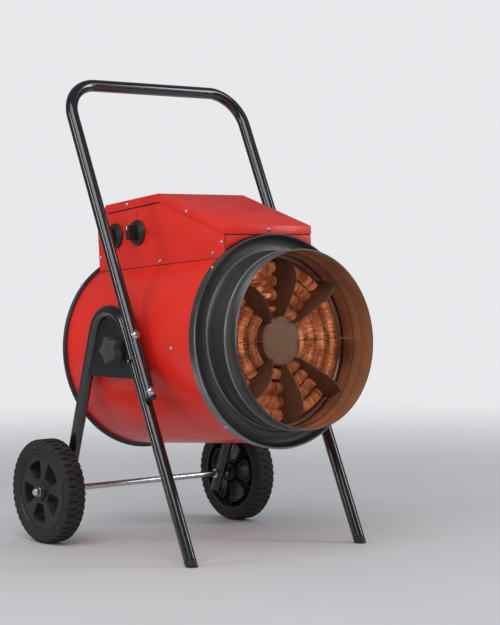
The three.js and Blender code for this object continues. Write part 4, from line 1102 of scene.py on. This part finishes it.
bm = bmesh.new()
for i in range(selector_places):
    angle = selector_step * i
    block(bm, panel_point(selector_y, angle, tick_radius) @ swing(-angle, "X"), (0.1, 1.5, 4.6))
for i in range(thermostat_ticks):
    angle = thermostat_step * i
    block(bm, panel_point(thermostat_y, angle, tick_radius) @ swing(-angle, "X"),
          (0.1, 1.0 + 0.12 * i, 2.4 + 0.34 * i))
make("dial_ticks", bm, drum_seat, black_ink, "drum")
read_from_side = Matrix(((0, 0, -1, 0), (-1, 0, 0, 0), (0, 1, 0, 0), (0, 0, 0, 1)))
for i in range(selector_places):
    curve = bpy.data.curves.new(f"numeral_{i}", "FONT")
    curve.body = str(i)
    curve.size = 9
    curve.align_x = curve.align_y = "CENTER"
    curve.extrude = 0.05
    letter = bpy.data.objects.new("numeral_drawing", curve)
    bm = bmesh.new()
    bm.from_mesh(letter.to_mesh())
    letter.to_mesh_clear()
    bpy.data.objects.remove(letter)
    bpy.data.curves.remove(curve)
    bmesh.ops.remove_doubles(bm, verts=bm.verts[:], dist=0.01)
    move(bm, panel_point(selector_y, selector_step * i, numeral_radius) @ read_from_side)
    make(f"dial_numeral_{i}", bm, drum_seat, black_ink, "drum")

# ---------------------------------------- inside the control box
# The switch and thermostat behind the knobs, the contactor and the terminal strip: pale
# flame-retardant mouldings, closed in by the lid.
pale = moulded("pale_moulding", (0.62, 0.59, 0.50, 1), 0.48, 500.0, 0.08, 0.1)
for node in ("selector_switch", "thermostat", "contactor", "terminal_block"):
    solid = frame["nodes"][node]
    solid.data.materials.clear()
    solid.data.materials.append(pale)

# ---------------------------------------- cable gland
# A black moulded gland, screwed into the housing's back: a ribbed collar and a domed nut
# that closes on the cord.
gland_rib_count = 16
bm = bmesh.new()
turned(bm, [(5.5, 190), (8.5, 190), (8.5, 202.4), (12.2, 202.4), (12.5, 202.8), (12.5, 209.4),
            (11.4, 210.2), (11.0, 213), (10.8, 219), (10.0, 222), (8.2, 224.6), (6.6, 226),
            (5.5, 226)], "Y", 40, closed=True)
for i in range(gland_rib_count):
    block(bm, swing(full_turn * i / gland_rib_count, "Y") @ shift(0, 215, 11), (1.4, 8.5, 1.2))
move(bm, shift(60, 0, 217))
make("cable_gland_moulding", bm, drum_seat, black_plastic, "drum",
     "cable_gland", 32)

# ---------------------------------------- tilt studs and star knobs
# A stud is welded to each side of the drum and passes through the pivot plate. A
# five-lobed knob on it clamps the drum at the angle it is set to.
grey_plastic = moulded("grey_moulding", (0.040, 0.040, 0.043, 1), 0.45, 650.0, 0.10, 0.04)
star_points, star_reach, star_depth = 60, 26, 19
knob_back = plate_half + tube_radius + 3
crown = knob_back + 20
for label, side in both_sides:
    bm = bmesh.new()
    turned(bm, [(0, 186.0), (16, 186.0), (16, 189.2), (15.2, 190), (9, 190), (9, 201.1),
                (5, 201.1), (5, 231), (4.4, 231.5), (0, 231.5)], side, 40)
    make(f"tilt_stud_{label}_turned", bm, drum_seat, zinc, "drum",
         f"tilt_stud_{label}", 35)

    bm = bmesh.new()
    lobes = []
    for i in range(star_points):
        angle = full_turn * i / star_points
        swell = min(21.9 + 4.0 * math.cos(5 * angle) + 0.35 * math.cos(10 * angle), star_reach)
        lobes.append(bm.verts.new((side * (knob_back + 1), swell * math.cos(angle),
                                   swell * math.sin(angle))))
    thicken(bm, bm.faces.new(lobes), (side * star_depth, 0, 0))
    ease(bm, 1.6, 4, 50)
    # a low round boss in the middle of the face, and the skirt that bears on the plate
    turned(bm, [(0, crown - 0.2), (12, crown - 0.2), (12.8, crown), (13.6, crown - 0.2),
                (14.4, crown - 1.4), (0, crown - 1.4)], side, 48)
    turned(bm, [(0, 204.9), (11, 204.9), (13, 219.5), (0, 219.5)], side, 40)
    make(f"tilt_knob_{label}_star", bm, drum_seat, grey_plastic, f"tilt_knob_{label}",
         f"tilt_knob_{label}", 40)

# ---------------------------------------- frame bolts
# One small black hexagon bolt goes through each front leg below the arch. Its turned end
# is left bright.
frame_bolt_height = 358
for label, side in both_sides:
    on_leg = front_leg(side, frame_bolt_height)
    outwards = Vector((side, 0, 0))
    bm = bmesh.new()
    hexagon(bm, 5.2, 3.6, swing(math.pi / 2, "X"))
    ease(bm, 0.6, 2, 40)
    move(bm, facing(outwards, on_leg + outwards * (tube_radius + 1.4)))
    make(f"frame_bolt_{label}_head", bm, trolley_seat, black_plastic, "trolley")
    bm = bmesh.new()
    turned(bm, [(0, 1.5), (1.4, 1.3), (1.9, 0.6), (1.9, -1.5), (0, -1.5)], "Y", 16)
    move(bm, facing(outwards, on_leg + outwards * (tube_radius + 3.4)))
    make(f"frame_bolt_{label}_end", bm, trolley_seat, zinc, "trolley")

# ---------------------------------------- screws
# Small zinc pan-head screws with a cross recess hold the lid, the housing's flanges, the
# collar and the ring.
pan_radius = 3.9


def pan_head(bm, at, direction, radius=pan_radius):
    """One screw head standing on a surface."""
    scale = radius / pan_radius
    head = turned(bm, [(0, 1.1 * scale), (0.9 * scale, 1.1 * scale), (1.2 * scale, 2.3 * scale),
                       (2.4 * scale, 2.1 * scale), (3.4 * scale, 1.4 * scale), (radius, 0),
                       (radius, -0.4), (0, -0.4)], "Y", 20)
    bmesh.ops.transform(bm, matrix=facing(direction, at), verts=head)


def on_drum(bm, angle_from_top, along, radius, side, head=pan_radius):
    """A screw standing on something round the drum's axis."""
    angle = math.radians(angle_from_top)
    out = Vector((side * math.sin(angle), 0, math.cos(angle)))
    pan_head(bm, out * radius + Vector((0, along, 0)), out, head)


bm = bmesh.new()
for _, side in both_sides:
    # the lid's side skirts, then the housing's front and rear edges and its flanges
    for along, height in ((97, 280), (-88, 249)):
        pan_head(bm, (side * (box_half + 1.8), along, height), (side, 0, 0))
    for along, height in ((-185, 184), (198, 185), (171, 162), (4, 163.5), (-157, 166)):
        pan_head(bm, (side * box_half, along, height), (side, 0, 0))
    # the collar's band, the rear ring and the inner liner
    for angle in (45.5, 139.5):
        on_drum(bm, angle, collar_rear - 8, 196.3, side, 3.4)
    for angle in (47, 140):
        on_drum(bm, angle, ring_face - 4, 194.1, side, 3.0)
    on_drum(bm, 91, -127, drum_radius, side)
pan_head(bm, (0, -197.0, 206), (0, -1, 0))
make("housing_screws", bm, drum_seat, zinc, "drum", smooth=40)

# ---------------------------------------- floor, light and camera
# A pale floor that fades into a pale surround, a broad soft key and a fill from the left,
# and a strip on the right for the edges. The eye stands level with the box, off the
# outlet's left.
scene = bpy.context.scene
scene.view_settings.view_transform = "Standard"

pale_floor, tree, shader = blank("pale_floor", specular=0.2)
at, _ = surface(tree)
away = reckon_vector(tree, "LENGTH", at)
fading = wire(tree, "ShaderNodeMapRange", {"interpolation_type": "SMOOTHSTEP"}, {
    "Value": away, "From Min": 0.9, "From Max": 3.6, "To Min": 1.0, "To Max": 0.0})
feed(tree, shader, {
    "Base Color": blended(tree, noise(tree, at, 3, 6), (0.54, 0.55, 0.565, 1),
                          (0.60, 0.605, 0.615, 1)),
    "Alpha": fading.outputs["Result"]})
shader.inputs["Roughness"].default_value = 0.6
bm = bmesh.new()
bmesh.ops.create_grid(bm, x_segments=1, y_segments=1, size=14, matrix=shift(0, 0, -0.0006))
floor_mesh = bpy.data.meshes.new("floor")
bm.to_mesh(floor_mesh)
bm.free()
floor_mesh.materials.append(pale_floor)
floor = bpy.data.objects.new("floor", floor_mesh)
scene.collection.objects.link(floor)

world = bpy.data.worlds.new("studio")
scene.world = world
world.use_nodes = True
tree = world.node_tree
surround = tree.nodes["Background"]
surround.inputs["Color"].default_value = (0.96, 0.98, 1.0, 1)
surround.inputs["Strength"].default_value = 0.62
dim = wire(tree, "ShaderNodeBackground", {}, {
    "Color": (0.80, 0.88, 1.0, 1), "Strength": 0.16})
seen = wire(tree, "ShaderNodeBackground", {}, {
    "Color": (0.80, 0.815, 0.835, 1), "Strength": 1.0})
path = wire(tree, "ShaderNodeLightPath")
in_gloss = wire(tree, "ShaderNodeMixShader", {}, {
    0: path.outputs["Is Glossy Ray"], 1: surround.outputs[0], 2: dim.outputs[0]})
to_eye = wire(tree, "ShaderNodeMixShader", {}, {
    0: path.outputs["Is Camera Ray"], 1: in_gloss.outputs[0], 2: seen.outputs[0]})
feed(tree, tree.nodes["World Output"], {"Surface": to_eye.outputs[0]})


def soft_box(name, at, aim, size, power):
    """A rectangular lamp that stands on a point and looks at another."""
    lamp = bpy.data.lights.new(name, "AREA")
    lamp.shape = "RECTANGLE"
    lamp.size, lamp.size_y = size
    lamp.energy = power
    holder = bpy.data.objects.new(name, lamp)
    holder.location = at
    holder.rotation_euler = (Vector(aim) - Vector(at)).to_track_quat("-Z", "Y").to_euler()
    scene.collection.objects.link(holder)


soft_box("key", (-1.9, -1.5, 2.7), (0, 0, 0.4), (2.4, 2.4), 50)
soft_box("fill", (-3.2, 0.9, 1.3), (0, 0, 0.4), (0.4, 1.9), 20)
soft_box("edge", (2.1, -1.9, 1.7), (0, 0, 0.45), (0.4, 2.0), 22)

eye_to_picture, picture_height = 1815.41, 625      # in pixels
look = Vector((0.63674, 0.77055, -0.02872)).normalized()
right = look.cross(Vector((0, 0, 1))).normalized()
up = right.cross(look)
roll = math.radians(-0.49)
across = right * math.cos(roll) + up * math.sin(roll)
upright = up * math.cos(roll) - right * math.sin(roll)
camera_data = bpy.data.cameras.new("camera")
camera_data.sensor_fit = "VERTICAL"
camera_data.sensor_height = 24
camera_data.lens = eye_to_picture * camera_data.sensor_height / picture_height
camera = bpy.data.objects.new("camera", camera_data)
camera.matrix_world = shift(-2.1564, trolley_zero - 2.7111, 0.5407) @ Matrix(
    (across, upright, -look)).transposed().to_4x4()
scene.collection.objects.link(camera)
scene.camera = camera
